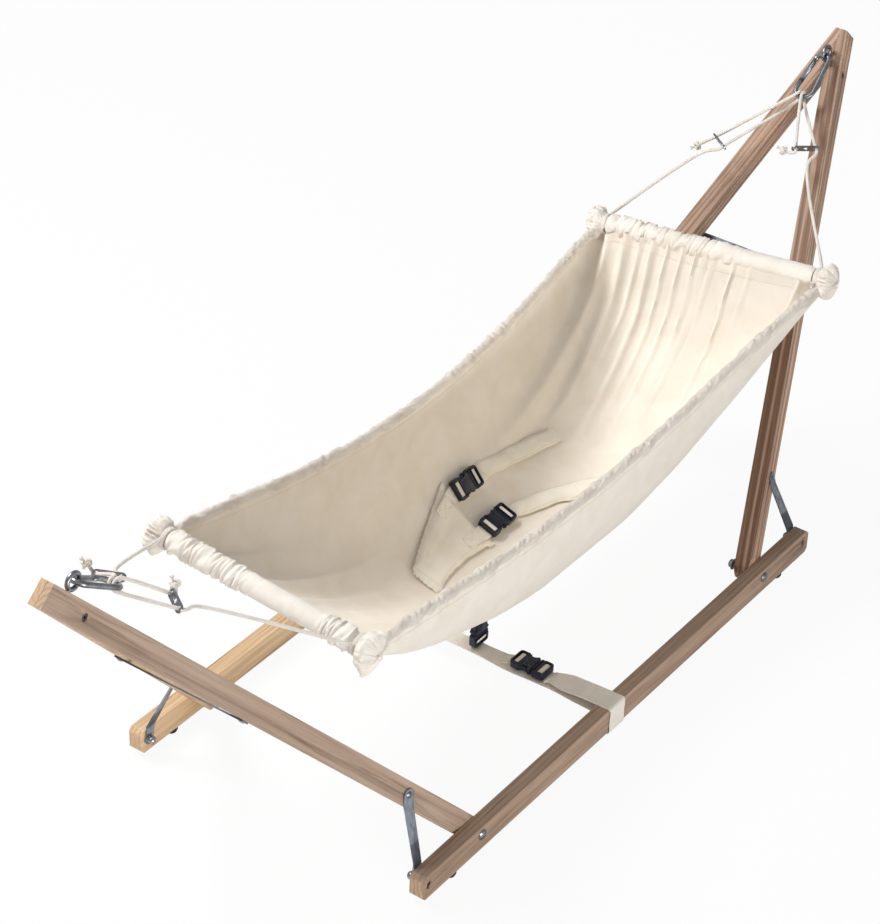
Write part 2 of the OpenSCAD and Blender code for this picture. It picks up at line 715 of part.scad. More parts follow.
// Anchor band round both rails
band_skin = band_t / 2 + seat_gap;
buckle_mid = 96;
band_path = [
  [-buckle_mid - buckle_len / 2 - 2 * seat_gap, rail_top - 3], [-inner_y + 6, rail_top + band_skin], [-stand_w / 2 - band_skin, rail_top + band_skin],
  [-stand_w / 2 - band_skin, foot_h - band_skin], [-inner_y + band_skin, foot_h - band_skin],
  [-inner_y + band_skin, band_mid_z - 6], [-inner_y + 12, band_mid_z - 3]];

// Shapes drawn in a section of the stand, Y to the right and Z up, as wide as the band
module across_rails() {
  color(cotton) translate([band_x + band_w / 2, 0, 0]) rotate([90, 0, -90]) mirror([1, 0, 0])
    linear_extrude(band_w) children();
}

// Right end of the band, from its buckle round the rail
module band_wrap() {
  across_rails() polygon(ribbon(band_path, band_t));
}

// Stretch between the rails, with the two loops that hold the buckles
module band_middle() {
  last = band_path[len(band_path) - 1];
  across_rails() {
    polygon(ribbon([[last[0] + seat_gap, last[1]], [0, band_mid_z], [-last[0] - seat_gap, last[1]]], band_t));
    for (side = [-1, 1]) polygon(ribbon([
      [side * (buckle_mid - buckle_len / 2 - 2 * seat_gap), band_mid_z + 6.5],
      [side * (buckle_mid - buckle_len / 2 - 9), band_mid_z + band_t + 0.4]], band_t));
  }
}

// Side release buckle along X, lying on the XY plane: the socket, then the plug that clicks into it
mouth = 0.12;
prong_w = 4;
prong_gap = 3;

module buckle_slot(x) {
  translate([x, -webbing_w / 2 - 0.5, -1]) cube([5, webbing_w + 1, buckle_t + 2]);
}

module buckle_socket() {
  socket_x = buckle_len * mouth;
  difference() {
    translate([-buckle_len / 2, -buckle_w / 2, 0]) cube([buckle_len / 2 + socket_x, buckle_w, buckle_t]);
    buckle_slot(-buckle_len / 2 + 3);
    // Windows in the sides, where the prongs show
    for (side = [-1, 1]) translate([socket_x - 11, side * (buckle_w / 2 + 3), -1])
      cylinder(r = prong_w + prong_gap + 1, h = buckle_t + 2);
    // Room for the plug
    translate([-5, -buckle_w / 2 + 3, 2]) cube([buckle_len, buckle_w - 6, buckle_t - 4]);
  }
}

module buckle_plug() {
  root_x = buckle_len * mouth + seat_gap;
  difference() {
    translate([root_x, -buckle_w / 2, 0]) cube([buckle_len / 2 - root_x, buckle_w, buckle_t]);
    buckle_slot(buckle_len / 2 - 8);
  }
  for (side = [-1, 0, 1]) translate([-4, side * (buckle_w / 2 - 3 - prong_w / 2 - seat_gap) - prong_w / 2, 3])
    cube([root_x + 5, prong_w, buckle_t - 6]);
}

module on_band() {
  color(buckle_blue) for (side = [-1, 1]) translate([band_x, side * buckle_mid, band_mid_z + 2.5])
    rotate([0, 0, side * 90]) children();
}

// Short tether from the cloth down to the band
tether_top = cloth_point(tether_s, tether_a)[2] - cloth_t - 2 * seat_gap;
tether_low_z = band_mid_z + band_t / 2 + 2 * seat_gap;
tether_buckle_z = tether_low_z + tether_tail + buckle_len / 2;

module tether_webbing() {
  color(cotton) translate([band_x - webbing_w / 2, -tether_off - webbing_t / 2, 0]) {
    translate([0, 0, tether_buckle_z + buckle_len / 2 + seat_gap])
      cube([webbing_w, webbing_t, tether_top - tether_buckle_z - buckle_len / 2 - seat_gap]);
    translate([0, 0, tether_low_z])
      cube([webbing_w, webbing_t, tether_buckle_z - buckle_len / 2 - seat_gap - tether_low_z]);
  }
}

module on_tether() {
  color(buckle_blue) translate([band_x, buckle_t / 2 - tether_off, tether_buckle_z]) rotate([90, 90, 0]) children();
}

// Harness lying on the cloth
function around(mid, half, n) = [for (j = [0:n]) mix(mid - half, mid + half, j / n)];
panel_from = 0.38;
panel_to = 0.535;
strap_to = 0.75;
strap_a = 14;
// A flat buckle stands a little clear of the curved cloth
harness_lift = 2.4;
// The empty harness lies over towards the left side
harness_lean = 30;
lean_from = 0.33;
lean_span = 0.45;
function harness_mid(s) = 90 + harness_lean * sin(180 * (s - lean_from) / lean_span);
panel_gap = 4.4;
strap_gap = 1.2;
harness_s = panel_to + (buckle_len / 2 + panel_gap) / norm(head_mid - foot_mid);
strap_from = harness_s + (buckle_len / 2 + strap_gap) / norm(head_mid - foot_mid);

module crotch_panel() {
  s_list = [for (i = [0:10]) mix(panel_from, panel_to, i / 10)];
  a_list = [for (i = [0:10]) around(harness_mid(s_list[i]), mix(10, 24, pow(i / 10, 1.5)), 8)];
  color(cotton) cloth_patch(s_list, a_list, -panel_t - drape_gap, -drape_gap);
}

module shoulder_strap(side) {
  s_list = [for (i = [0:10]) mix(strap_from, strap_to, i / 10)];
  a_list = [for (i = [0:10]) around(harness_mid(s_list[i]) + side * mix(strap_a, strap_a + 6, i / 10), 5, 4)];
  color(cotton) cloth_patch(s_list, a_list, -webbing_t - drape_gap, -drape_gap);
}

// Places a piece flat on the inside of the cloth
module on_cloth(s, a, lift) {
  along = unit(cloth_point(s + 0.01, a) - cloth_point(s - 0.01, a));
  up = -cloth_normal(s, a);
  over = cross(up, along);
  at = cloth_at(s, a, -lift);
  multmatrix([
    [along[0], over[0], up[0], at[0]],
    [along[1], over[1], up[1], at[1]],
    [along[2], over[2], up[2], at[2]],
    [0, 0, 0, 1]]) children();
}

module on_harness() {
  color(buckle_blue) for (side = [-1, 1]) on_cloth(harness_s, harness_mid(harness_s) + side * strap_a, harness_lift) children();
}

mirror([0, 1, 0]) rail();  // rail_right
rail();  // rail_left
rubber_feet();
hinge_bolts();
hinge_nuts();
end_bolts();
cap_nuts();
mirror([0, 1, 0]) frame_leg();  // head_leg_right
frame_leg();  // head_leg_left
cross_bolt();  // head_cross_bolt
eye_bolt();  // head_eye_bolt
crossbar();  // head_crossbar
crossbar_screws();  // head_crossbar_screws
strut_screws();  // head_strut_screws
mirror([1, 0, 0]) mirror([0, 1, 0]) frame_leg();  // foot_leg_right
mirror([1, 0, 0]) frame_leg();  // foot_leg_left
mirror([1, 0, 0]) cross_bolt();  // foot_cross_bolt
mirror([1, 0, 0]) eye_bolt();  // foot_eye_bolt
mirror([1, 0, 0]) crossbar();  // foot_crossbar
mirror([1, 0, 0]) crossbar_screws();  // foot_crossbar_screws
mirror([1, 0, 0]) strut_screws();  // foot_strut_screws
mirror([0, 1, 0]) strut();  // head_strut_right
strut();  // head_strut_left
mirror([1, 0, 0]) mirror([0, 1, 0]) strut();  // foot_strut_right
mirror([1, 0, 0]) strut();  // foot_strut_left
color(steel) hung(head_drop) hook_body();  // head_snap_hook
color(steel) hung(head_drop) hook_gate();  // head_snap_gate
color(steel) mirror([1, 0, 0]) hung(foot_drop) hook_body();  // foot_snap_hook
color(steel) mirror([1, 0, 0]) hung(foot_drop) hook_gate();  // foot_snap_gate
place_head() rod(head_rod_half);  // head_spreader_rod
place_foot() rod(foot_rod_half);  // foot_spreader_rod
place_head() sleeve(head_rod_half);  // head_sleeve
place_foot() sleeve(foot_rod_half);  // foot_sleeve
hammock_cloth();
side_hem(-1);  // side_hem_right
side_hem(1);  // side_hem_left
cord(head_right_route);  // head_cord_right
cord(head_left_route);  // head_cord_left
cord(foot_right_route);  // foot_cord_right
cord(foot_left_route);  // foot_cord_left
cord_knots();
cord_adjusters();
band_wrap();  // band_wrap_right
mirror([0, 1, 0]) band_wrap();  // band_wrap_left
band_middle();
on_band() buckle_socket();  // band_sockets
on_band() buckle_plug();  // band_plugs
tether_webbing();
on_tether() buckle_socket();  // tether_socket
on_tether() buckle_plug();  // tether_plug
crotch_panel();
shoulder_strap(-1);  // shoulder_strap_right
shoulder_strap(1);  // shoulder_strap_left
on_harness() buckle_socket();  // harness_sockets
on_harness() buckle_plug();  // harness_plugs
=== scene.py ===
"""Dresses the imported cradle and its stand, and sets the studio and the camera."""

import logging
import math
from collections.abc import Callable, Iterable, Sequence
from dataclasses import dataclass, field
from enum import Enum
from functools import partial

import bmesh
import bpy
from mathutils import Matrix, Vector, noise
from mathutils.bvhtree import BVHTree


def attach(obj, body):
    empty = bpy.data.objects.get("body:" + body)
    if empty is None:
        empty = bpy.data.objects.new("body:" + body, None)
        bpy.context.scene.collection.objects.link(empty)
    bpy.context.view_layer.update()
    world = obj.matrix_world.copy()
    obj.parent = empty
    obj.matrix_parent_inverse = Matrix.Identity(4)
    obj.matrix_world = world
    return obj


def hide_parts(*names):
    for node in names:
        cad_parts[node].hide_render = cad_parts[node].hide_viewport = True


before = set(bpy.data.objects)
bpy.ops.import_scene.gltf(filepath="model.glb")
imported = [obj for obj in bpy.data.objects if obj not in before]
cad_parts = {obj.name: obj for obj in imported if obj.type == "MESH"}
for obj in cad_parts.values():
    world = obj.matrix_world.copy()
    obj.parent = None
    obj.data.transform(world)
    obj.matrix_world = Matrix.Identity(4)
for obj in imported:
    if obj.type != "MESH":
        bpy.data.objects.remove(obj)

MM = 0.001
Mesh = bmesh.types.BMesh
Socket = bpy.types.NodeSocket
Look = bpy.types.Material
Point = tuple[float, float, float]
Pair = tuple[Vector, Vector]
Colour = tuple[float, float, float, float]
Line = Callable[[float], Vector]
Place = Callable[[float, float], Vector]
NEAR_ZERO = 1e-6
WELD = 2e-6
FULL_TURN = 2 * math.pi
QUARTER_TURN = math.pi / 2
CLOTH_CREASE = 80.0
WEBBING_CREASE = 50.0
log = logging.getLogger("cradle")


class Side(Enum):
    """Side of the stand, as the sign of Y."""

    RIGHT = -1
    LEFT = 1


class End(Enum):
    """End of the stand, as the sign of X."""

    FOOT = -1
    HEAD = 1


class Slot(Enum):
    """Material slots of the record."""

    STAND_WOOD = "stand_wood"
    ZINC = "zinc_steel"
    COTTON = "cotton_cloth"
    PADDED = "padded_cotton"
    CREAM_WEBBING = "cream_webbing"
    CORD = "cotton_cord"
    PLASTIC = "buckle_plastic"


def tone(red: int, green: int, blue: int) -> Colour:
    """Linear colour of a screen colour.

    Args:
        red: Red from 0 to 255.
        green: Green from 0 to 255.
        blue: Blue from 0 to 255.

    Returns:
        Red, green, blue and alpha in linear light.
    """
    parts = [c / 255 for c in (red, green, blue)]
    linear = [c / 12.92 if c <= 0.04045 else ((c + 0.055) / 1.055) ** 2.4 for c in parts]
    return (linear[0], linear[1], linear[2], 1.0)


def mm(x: float, y: float, z: float) -> Vector:
    """A point given in millimetres, in metres."""
    return Vector((x, y, z)) * MM


def mix(a: float, b: float, t: float) -> float:
    """Value a share t of the way from a to b."""
    return a + (b - a) * t


def ease(low: float, high: float, x: float) -> float:
    """Smooth step from 0 at low to 1 at high."""
    t = min(max((x - low) / (high - low), 0.0), 1.0)
    return t * t * (3 - 2 * t)


def signed_power(x: float, power: float) -> float:
    """Power of a number's size, with the sign of the number."""
    return math.copysign(abs(x) ** power, x)


def wobble(x: float, y: float, z: float) -> float:
    """Smooth noise between about -1 and 1, the same on each run."""
    return noise.noise(Vector((x, y, z)))


def ridges(x: float, y: float, z: float) -> float:
    """Noise with sharp crests at 1 and round hollows at about -1."""
    return 1 - 2 * abs(wobble(x, y, z))


# Meshes


def skin(place: Place, rows: int, cols: int, size: tuple[float, float], closed: bool = False) -> Mesh:
    """Lays a grid onto a surface.

    Args:
        place: Point of the surface for two parameters from 0 to 1.
        rows: Cells along the first parameter.
        cols: Cells along the second parameter.
        size: Length and width in metres, for a map whose weave is in scale.
        closed: Whether the second parameter comes back to its start.

    Returns:
        The mesh, open at its two ends when closed, and at all edges when not.
    """
    bm = bmesh.new()
    bm.loops.layers.uv.new("UVMap")
    bmesh.ops.create_grid(bm, x_segments=rows, y_segments=cols, size=0.5, calc_uvs=True)
    layer = bm.loops.layers.uv.active
    for face in bm.faces:
        for loop in face.loops:
            at = loop.vert.co
            loop[layer].uv = ((at.x + 0.5) * size[0], (at.y + 0.5) * size[1])
    for vert in bm.verts:
        vert.co = place(min(max(vert.co.x + 0.5, 0), 1), min(max(vert.co.y + 0.5, 0), 1))
    if closed:
        bmesh.ops.remove_doubles(bm, verts=bm.verts, dist=NEAR_ZERO)
    return bm


def capped(bm: Mesh) -> Mesh:
    """The mesh with its open ends filled."""
    bmesh.ops.holes_fill(bm, edges=[e for e in bm.edges if e.is_boundary], sides=0)
    return bm


def thickened(bm: Mesh, thickness: float) -> Mesh:
    """The mesh as a closed layer."""
    bmesh.ops.solidify(bm, geom=bm.faces[:], thickness=thickness)
    return bm


def rounded(
    bm: Mesh, edges: list[bmesh.types.BMEdge], radius: float, segments: int, clamped: bool = False
) -> None:
    """Rounds some edges of a mesh.

    Args:
        bm: The mesh.
        edges: Its edges to round.
        radius: How far the rounding reaches, in metres.
        segments: Faces across it.
        clamped: Whether it stops short of the next edge.
    """
    bmesh.ops.bevel(
        bm, geom=edges, offset=radius, segments=segments, profile=0.5, affect="EDGES", material=-1,
        clamp_overlap=clamped)


def smooth_route(points: Sequence[Vector], step: float) -> list[Vector]:
    """Points close together on a smooth curve through the given ones.

    Args:
        points: Points that the curve passes.
        step: Rough distance between the new points, in metres.

    Returns:
        The points of the curve.
    """
    ends = [points[0] * 2 - points[1], *points, points[-1] * 2 - points[-2]]
    route: list[Vector] = []
    for p0, p1, p2, p3 in zip(ends, ends[1:], ends[2:], ends[3:]):
        t1 = math.sqrt((p1 - p0).length)
        t2 = t1 + math.sqrt((p2 - p1).length)
        t3 = t2 + math.sqrt((p3 - p2).length)
        count = max(2, round((p2 - p1).length / step))
        for i in range(count):
            t = t1 + (t2 - t1) * i / count
            a1 = p0.lerp(p1, t / t1)
            a2 = p1.lerp(p2, (t - t1) / (t2 - t1))
            a3 = p2.lerp(p3, (t - t2) / (t3 - t2))
            b1 = a1.lerp(a2, t / t2)
            b2 = a2.lerp(a3, (t - t1) / (t3 - t1))
            route.append(b1.lerp(b2, (t - t1) / (t2 - t1)))
    route.append(points[-1].copy())
    return route


def route_length(route: Sequence[Vector]) -> float:
    """Length of a route in metres."""
    return sum((b - a).length for a, b in zip(route, route[1:]))


def heading(route: Sequence[Vector], i: int) -> Vector:
    """Direction of a route at one of its points."""
    return (route[min(i + 1, len(route) - 1)] - route[max(i - 1, 0)]).normalized()


def carried_frames(route: Sequence[Vector], up: Vector) -> list[Pair]:
    """Two directions square to a route at each of its points, carried along without twist.

    Args:
        route: Points of the route.
        up: Direction that the second one starts closest to.

    Returns:
        A pair of directions for each point.
    """
    frames: list[Pair] = []
    last = Vector(up)
    for i in range(len(route)):
        way = heading(route, i)
        last = (last - way * last.dot(way)).normalized()
        frames.append((last.cross(way), last.copy()))
    return frames


def tube(
    route: Sequence[Vector],
    radius: Callable[[float, float], float],
    sides: int,
    up: Vector = Vector((0, 0, 1)),
    filled: bool = True,
) -> Mesh:
    """A tube along a route.

    Args:
        route: Points of its middle line.
        radius: Radius for a share of the length and an angle in radians.
        sides: Faces around it.
        up: Direction of its angle of a quarter turn, at the start.
        filled: Whether its ends are closed.

    Returns:
        The mesh.
    """
    frames = carried_frames(route, up)
    last = len(route) - 1

    def place(u: float, v: float) -> Vector:
        """Point of the tube's wall."""
        i = round(u * last)
        angle = FULL_TURN * v
        across, above = frames[i]
        return route[i] + (across * math.cos(angle) + above * math.sin(angle)) * radius(i / last, angle)

    wide = FULL_TURN * radius(0.5, 0.0)
    bm = skin(place, last, sides, (route_length(route), wide), closed=True)
    return capped(bm) if filled else bm


def strip(
    route: Sequence[Vector],
    across: Sequence[Vector],
    width: float,
    thickness: float,
    share: Callable[[float], float] = lambda u: 1.0,
) -> Mesh:
    """A flat strap along a route.

    Args:
        route: Points of its middle line.
        across: Direction of its width at each point.
        width: Full width in metres.
        thickness: Thickness in metres.
        share: Share of the full width along the length, from 0 to 1.

    Returns:
        The closed mesh.
    """
    last = len(route) - 1

    def place(u: float, v: float) -> Vector:
        """Point of the strap's upper face."""
        i = round(u * last)
        return route[i] + across[i] * (v - 0.5) * width * share(u)

    return thickened(skin(place, last, 8, (route_length(route), width)), thickness)


def stitches(spots: Iterable[Pair], long: float = 0.0028, thick: float = 0.0006) -> Mesh:
    """Dashes of sewing thread.

    Args:
        spots: Middle and direction of each dash.
        long: Length of a dash in metres.
        thick: Its thickness.

    Returns:
        The mesh of all dashes.
    """
    bm = bmesh.new()
    for spot, way in spots:
        turn = way.to_track_quat("X", "Z").to_matrix().to_4x4()
        matrix = Matrix.Translation(spot) @ turn @ Matrix.Diagonal((long, thick, thick, 1))
        bmesh.ops.create_icosphere(bm, subdivisions=1, radius=0.5, matrix=matrix)
    return bm


def seam(line: Line, length: float, pitch: float = 0.0042) -> list[Pair]:
    """Spots of the dashes along a line.

    Args:
        line: Point of the line for a share from 0 to 1.
        length: Length of the line in metres.
        pitch: Distance between two dashes.

    Returns:
        Middle and direction of each dash.
    """
    count = max(2, round(length / pitch))
    spots = []
    for i in range(count):
        share = (i + 0.5) / count
        step = 0.3 / count
        spots.append((line(share), (line(share + step) - line(share - step)).normalized()))
    return spots


def slab(low: Point, high: Point, corner: float = 0, edge: float = 0) -> Mesh:
    """A block with rounded upright corners and eased rims.

    Args:
        low: Lowest corner.
        high: Highest corner.
        corner: Radius of the upright corners, or 0.
        edge: Radius of the other edges, or 0.

    Returns:
        The mesh.
    """
    bm = bmesh.new()
    bmesh.ops.create_cube(bm, size=1)
    bmesh.ops.scale(bm, vec=Vector(high) - Vector(low), verts=bm.verts)
    bmesh.ops.translate(bm, vec=(Vector(low) + Vector(high)) / 2, verts=bm.verts)

    def rises(e: bmesh.types.BMEdge) -> bool:
        """Whether an edge isn't level."""
        return abs(e.verts[0].co.z - e.verts[1].co.z) > NEAR_ZERO

    if corner > 0:
        rounded(bm, [e for e in bm.edges if rises(e)], corner, 5)
    if edge > 0:
        rounded(bm, [e for e in bm.edges if not rises(e) and e.calc_face_angle(0) > 1], edge, 3)
    return bm


def disc(radius: float, height: float, sides: int = 32) -> Mesh:
    """A round block along Z from the origin.

    Args:
        radius: Radius in metres.
        height: Height in metres.
        sides: Faces around it.

    Returns:
        The mesh.
    """
    bm = bmesh.new()
    bmesh.ops.create_cone(bm, cap_ends=True, segments=sides, radius1=radius, radius2=radius, depth=height)
    bmesh.ops.translate(bm, vec=(0, 0, height / 2), verts=bm.verts)
    return bm


def joined(parts: Iterable[Mesh]) -> Mesh:
    """Several meshes as one.

    Args:
        parts: The meshes, which are used up.

    Returns:
        The one mesh.
    """
    whole = bmesh.new()
    for part in parts:
        mesh = bpy.data.meshes.new("part")
        part.to_mesh(mesh)
        part.free()
        whole.from_mesh(mesh)
        bpy.data.meshes.remove(mesh)
    return whole


def moved(bm: Mesh, matrix: Matrix) -> Mesh:
    """The mesh after a transform."""
    bmesh.ops.transform(bm, matrix=matrix, verts=bm.verts)
    return bm


def discard(obj: bpy.types.Object) -> None:
    """Removes an object and its mesh."""
    mesh = obj.data
    bpy.data.objects.remove(obj)
    bpy.data.meshes.remove(mesh)


def baked(obj: bpy.types.Object) -> Mesh:
    """The mesh of an object with its modifiers, after which the object is removed.

    Args:
        obj: Object with modifiers.

    Returns:
        The mesh as it shows.
    """
    graph = bpy.context.evaluated_depsgraph_get()
    bm = bmesh.new()
    bm.from_mesh(obj.evaluated_get(graph).to_mesh())
    discard(obj)
    return bm


def loose_object(bm: Mesh, name: str) -> bpy.types.Object:
    """An object in the scene for a mesh that is still being made."""
    bmesh.ops.recalc_face_normals(bm, faces=bm.faces)
    mesh = bpy.data.meshes.new(name)
    bm.to_mesh(mesh)
    bm.free()
    obj = bpy.data.objects.new(name, mesh)
    bpy.context.scene.collection.objects.link(obj)
    return obj


def carved(body: Mesh, cutters: Sequence[Mesh]) -> Mesh:
    """A mesh with others cut out of it.

    Args:
        body: The mesh to cut.
        cutters: Closed meshes to take away.

    Returns:
        What is left.
    """
    whole = loose_object(body, "carved")
    tools = [loose_object(cutter, "cutter") for cutter in cutters]
    for tool in tools:
        modifier = whole.modifiers.new("cut", "BOOLEAN")
        modifier.operation = "DIFFERENCE"
        modifier.solver = "EXACT"
        modifier.object = tool
    bpy.context.view_layer.update()
    result = baked(whole)
    for tool in tools:
        discard(tool)
    return result


def piece(
    bm: Mesh,
    name: str,
    look: Look,
    body: str,
    slot: Slot,
    stands_for: Sequence[str] = (),
    crease: float = 40.0,
) -> bpy.types.Object:
    """Turns a mesh into a finished piece of the cradle.

    Args:
        bm: The mesh, which is used up.
        name: Name of the piece.
        look: Its material.
        body: Body that it moves with.
        slot: Slot of the record that its finish belongs to. Not used.
        stands_for: Nodes that it replaces.
        crease: Angle in degrees from which an edge stays sharp.

    Returns:
        The object.
    """
    obj = loose_object(bm, name)
    obj.data.materials.append(look)
    obj.data.shade_smooth()
    obj.data.set_sharp_from_angle(angle=math.radians(crease))
    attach(obj, body)
    if stands_for:
        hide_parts(*stands_for)
    return obj


# Finishes


class Bench:
    """Node tree of one material, with short calls for the nodes that the finishes share."""

    def __init__(self, name: str) -> None:
        """Starts a material with one principled shader."""
        self.material = bpy.data.materials.new(name)
        self.material.use_nodes = True
        self.tree = self.material.node_tree
        self.shader = self.tree.nodes["Principled BSDF"]

    def add(self, kind: str, **settings: object) -> bpy.types.Node:
        """A new node with its settings."""
        node = self.tree.nodes.new(kind)
        for key, value in settings.items():
            setattr(node, key, value)
        return node

    def join(self, source: Socket, target: Socket) -> None:
        """Links two sockets."""
        self.tree.links.new(source, target)

    def feed(self, socket: Socket, value: object) -> None:
        """Links a socket to another one, or sets its value."""
        if isinstance(value, Socket):
            self.join(value, socket)
        else:
            socket.default_value = value

    def parts(self, vector: Socket) -> Sequence[Socket]:
        """X, Y and Z of a vector."""
        node = self.add("ShaderNodeSeparateXYZ")
        self.join(vector, node.inputs[0])
        return node.outputs

    def coords(self, output: str) -> Socket:
        """Object or UV coordinates."""
        return self.add("ShaderNodeTexCoord").outputs[output]

    def mapped(
        self,
        vector: Socket,
        scale: Sequence[float],
        turn: Sequence[float] = (0, 0, 0),
        shift: Sequence[float] = (0, 0, 0),
    ) -> Socket:
        """Coordinates after a scale, a turn and a shift.

        Args:
            vector: Coordinates to start from.
            scale: Scale along each axis.
            turn: Turn in radians about each axis.
            shift: Shift along each axis.

        Returns:
            The new coordinates.
        """
        node = self.add("ShaderNodeMapping")
        self.join(vector, node.inputs["Vector"])
        node.inputs["Scale"].default_value = scale
        node.inputs["Rotation"].default_value = turn
        node.inputs["Location"].default_value = shift
        return node.outputs["Vector"]

    def noise(self, vector: Socket, scale: float, detail: float = 3.0, distortion: float = 0.0) -> Socket:
        """Noise from 0 to 1."""
        node = self.add("ShaderNodeTexNoise")
        self.join(vector, node.inputs["Vector"])
        node.inputs["Scale"].default_value = scale
        node.inputs["Detail"].default_value = detail
        node.inputs["Distortion"].default_value = distortion
        return node.outputs["Fac"]

    def math(self, operation: str, a: object, b: object = 0.0) -> Socket:
        """Result of one sum on two numbers."""
        node = self.add("ShaderNodeMath", operation=operation)
        self.feed(node.inputs[0], a)
        self.feed(node.inputs[1], b)
        return node.outputs[0]

    def times(self, a: object, b: object) -> Socket:
        """Product of two numbers."""
        return self.math("MULTIPLY", a, b)

    def facing(self, way: Vector) -> Socket:
        """How far the surface faces a direction, from -1 to 1."""
        node = self.add("ShaderNodeVectorMath", operation="DOT_PRODUCT")
        self.join(self.add("ShaderNodeNewGeometry").outputs["True Normal"], node.inputs[0])
        node.inputs[1].default_value = way
        return node.outputs["Value"]

    def span(
        self, value: Socket, low: float, high: float, to_low: float = 0.0, to_high: float = 1.0
    ) -> Socket:
        """A value spread smoothly from one span to another, and held inside it."""
        node = self.add("ShaderNodeMapRange", interpolation_type="SMOOTHSTEP")
        for key, number in (("From Min", low), ("From Max", high), ("To Min", to_low), ("To Max", to_high)):
            node.inputs[key].default_value = number
        self.join(value, node.inputs["Value"])
        return node.outputs["Result"]

    def blend(self, share: object, first: object, second: object) -> Socket:
        """Mix of two colours."""
        node = self.add("ShaderNodeMix", data_type="RGBA")
        self.feed(node.inputs[0], share)
        self.feed(node.inputs[6], first)
        self.feed(node.inputs[7], second)
        return node.outputs[2]

    def bump(self, height: Socket, strength: float, distance: float) -> None:
        """Raises the shader's surface by a height."""
        node = self.add("ShaderNodeBump")
        node.inputs["Strength"].default_value = strength
        node.inputs["Distance"].default_value = distance
        self.join(height, node.inputs["Height"])
        self.join(node.outputs["Normal"], self.shader.inputs["Normal"])

    def finish(self, colour: object, roughness: object, **sockets: float) -> Look:
        """Sets the shader's main sockets.

        Args:
            colour: Base colour, as a socket or a colour.
            roughness: Roughness, as a socket or a number.
            sockets: Other sockets by name, with an underscore for a space.

        Returns:
            The material.
        """
        self.feed(self.shader.inputs["Base Color"], colour)
        self.feed(self.shader.inputs["Roughness"], roughness)
        for key, value in sockets.items():
            self.shader.inputs[key.replace("_", " ")].default_value = value
        return self.material


@dataclass(frozen=True)
class WoodFinish:
    """Oiled ash with rings, pores and darker streaks, along one direction, and on one chosen face dark
    heartwood mixed with painted shade.
    """

    name: str
    grain: Vector
    pith: Point = (0.0, 0.045, 0.03)
    pale: Colour = tone(205, 172, 140)
    deep: Colour = tone(166, 130, 103)
    pore: Colour = tone(120, 90, 70)
    end: Colour = tone(212, 178, 144)
    ring: float = 48.0
    contrast: float = 0.5
    # Faces that look along the next direction take the next colour: dark heartwood streaks with painted shade
    # for that face.
    dark_face: Vector = Vector((0, 0, 0))
    heart: Colour = tone(112, 80, 60)

    def make(self) -> Look:
        """The material."""
        b = Bench(self.name)
        grain = self.grain.normalized()
        along_y = abs(grain.y) > 0.99
        across = (grain.orthogonal() if along_y else Vector((0, 1, 0)).cross(grain)).normalized()
        turn = Matrix((grain, across, grain.cross(across))).to_euler()
        along = b.mapped(b.coords("Object"), (1, 1, 1), turn)
        rings = b.add("ShaderNodeTexWave", wave_type="RINGS", rings_direction="X")
        b.join(b.mapped(along, (0.075, 1, 1), (0, 0.012, 0.02), self.pith), rings.inputs["Vector"])
        for key, value in (("Scale", self.ring), ("Distortion", 5.5), ("Detail", 3.0), ("Detail Scale", 1.6)):
            rings.inputs[key].default_value = value
        late = b.span(rings.outputs["Fac"], 0.45, 1.0)
        pores = b.span(b.noise(b.mapped(along, (9, 640, 640)), 1.0, 4.0), 0.5, 0.68)
        lines = b.span(b.noise(b.mapped(along, (1.6, 150, 150)), 1.0, 3.0, 0.3), 0.42, 0.66)
        cloudy = b.noise(b.mapped(along, (3, 22, 22)), 1.0, 3.0, 0.6)
        base = b.blend(b.times(late, self.contrast), self.pale, self.deep)
        base = b.blend(b.times(b.span(cloudy, 0.35, 0.75), 0.35), base, self.deep)
        base = b.blend(b.times(lines, 0.4), base, self.deep)
        share = b.times(pores, b.span(rings.outputs["Fac"], 0.0, 0.8, 0.2, 0.62))
        base = b.blend(share, base, self.pore)
        # Painted shade, partly real heartwood: faces towards the chosen direction are darkened in streaks.
        if self.dark_face.length > 0:
            heart_shade_share = b.span(b.facing(self.dark_face), 0.6, 0.9)
            base = b.blend(b.times(heart_shade_share, b.span(lines, 0, 1, 0.45, 0.85)), base, self.heart)
        sawn = b.span(b.math("ABSOLUTE", b.facing(grain)), 0.75, 0.9)
        base = b.blend(b.times(sawn, 0.8), base, b.blend(b.times(late, 0.5), self.end, self.deep))
        b.bump(b.math("SUBTRACT", 1.0, share), 0.25, 0.0004)
        return b.finish(base, b.span(cloudy, 0.2, 0.8, 0.5, 0.64), Specular_IOR_Level=0.35)


@dataclass(frozen=True)
class MetalFinish:
    """Zinc-plated steel with a faint crystal pattern and dull spots."""

    name: str
    colour: Colour = tone(176, 180, 186)
    dull: Colour = tone(120, 124, 132)
    roughness: float = 0.28
    brush: Point = (90, 90, 90)
    bend: tuple[float, float] | None = None
    fade: float = 0.004
    worn: Colour = tone(84, 84, 92)

    def make(self) -> Look:
        """The material."""
        b = Bench(self.name)
        place = b.coords("Object")
        cells = b.noise(b.mapped(place, self.brush), 1.0, 4.0)
        spots = b.span(b.noise(place, 340, 2.0), 0.5, 0.8)
        base = b.blend(b.span(cells, 0.3, 0.75), self.colour, self.dull)
        # Darker band between two heights, over the strut's bend.
        if self.bend:
            low, high = self.bend
            height = b.parts(place)[2]
            above, below = b.span(height, low - self.fade, low), b.span(height, high, high + self.fade, 1, 0)
            base = b.blend(b.times(b.times(above, below), 0.7), base, self.worn)
        b.bump(b.math("ADD", cells, spots), 0.12, 0.0003)
        rough = b.span(cells, 0.2, 0.8, self.roughness - 0.07, self.roughness + 0.14)
        return b.finish(base, rough, Metallic=1.0)


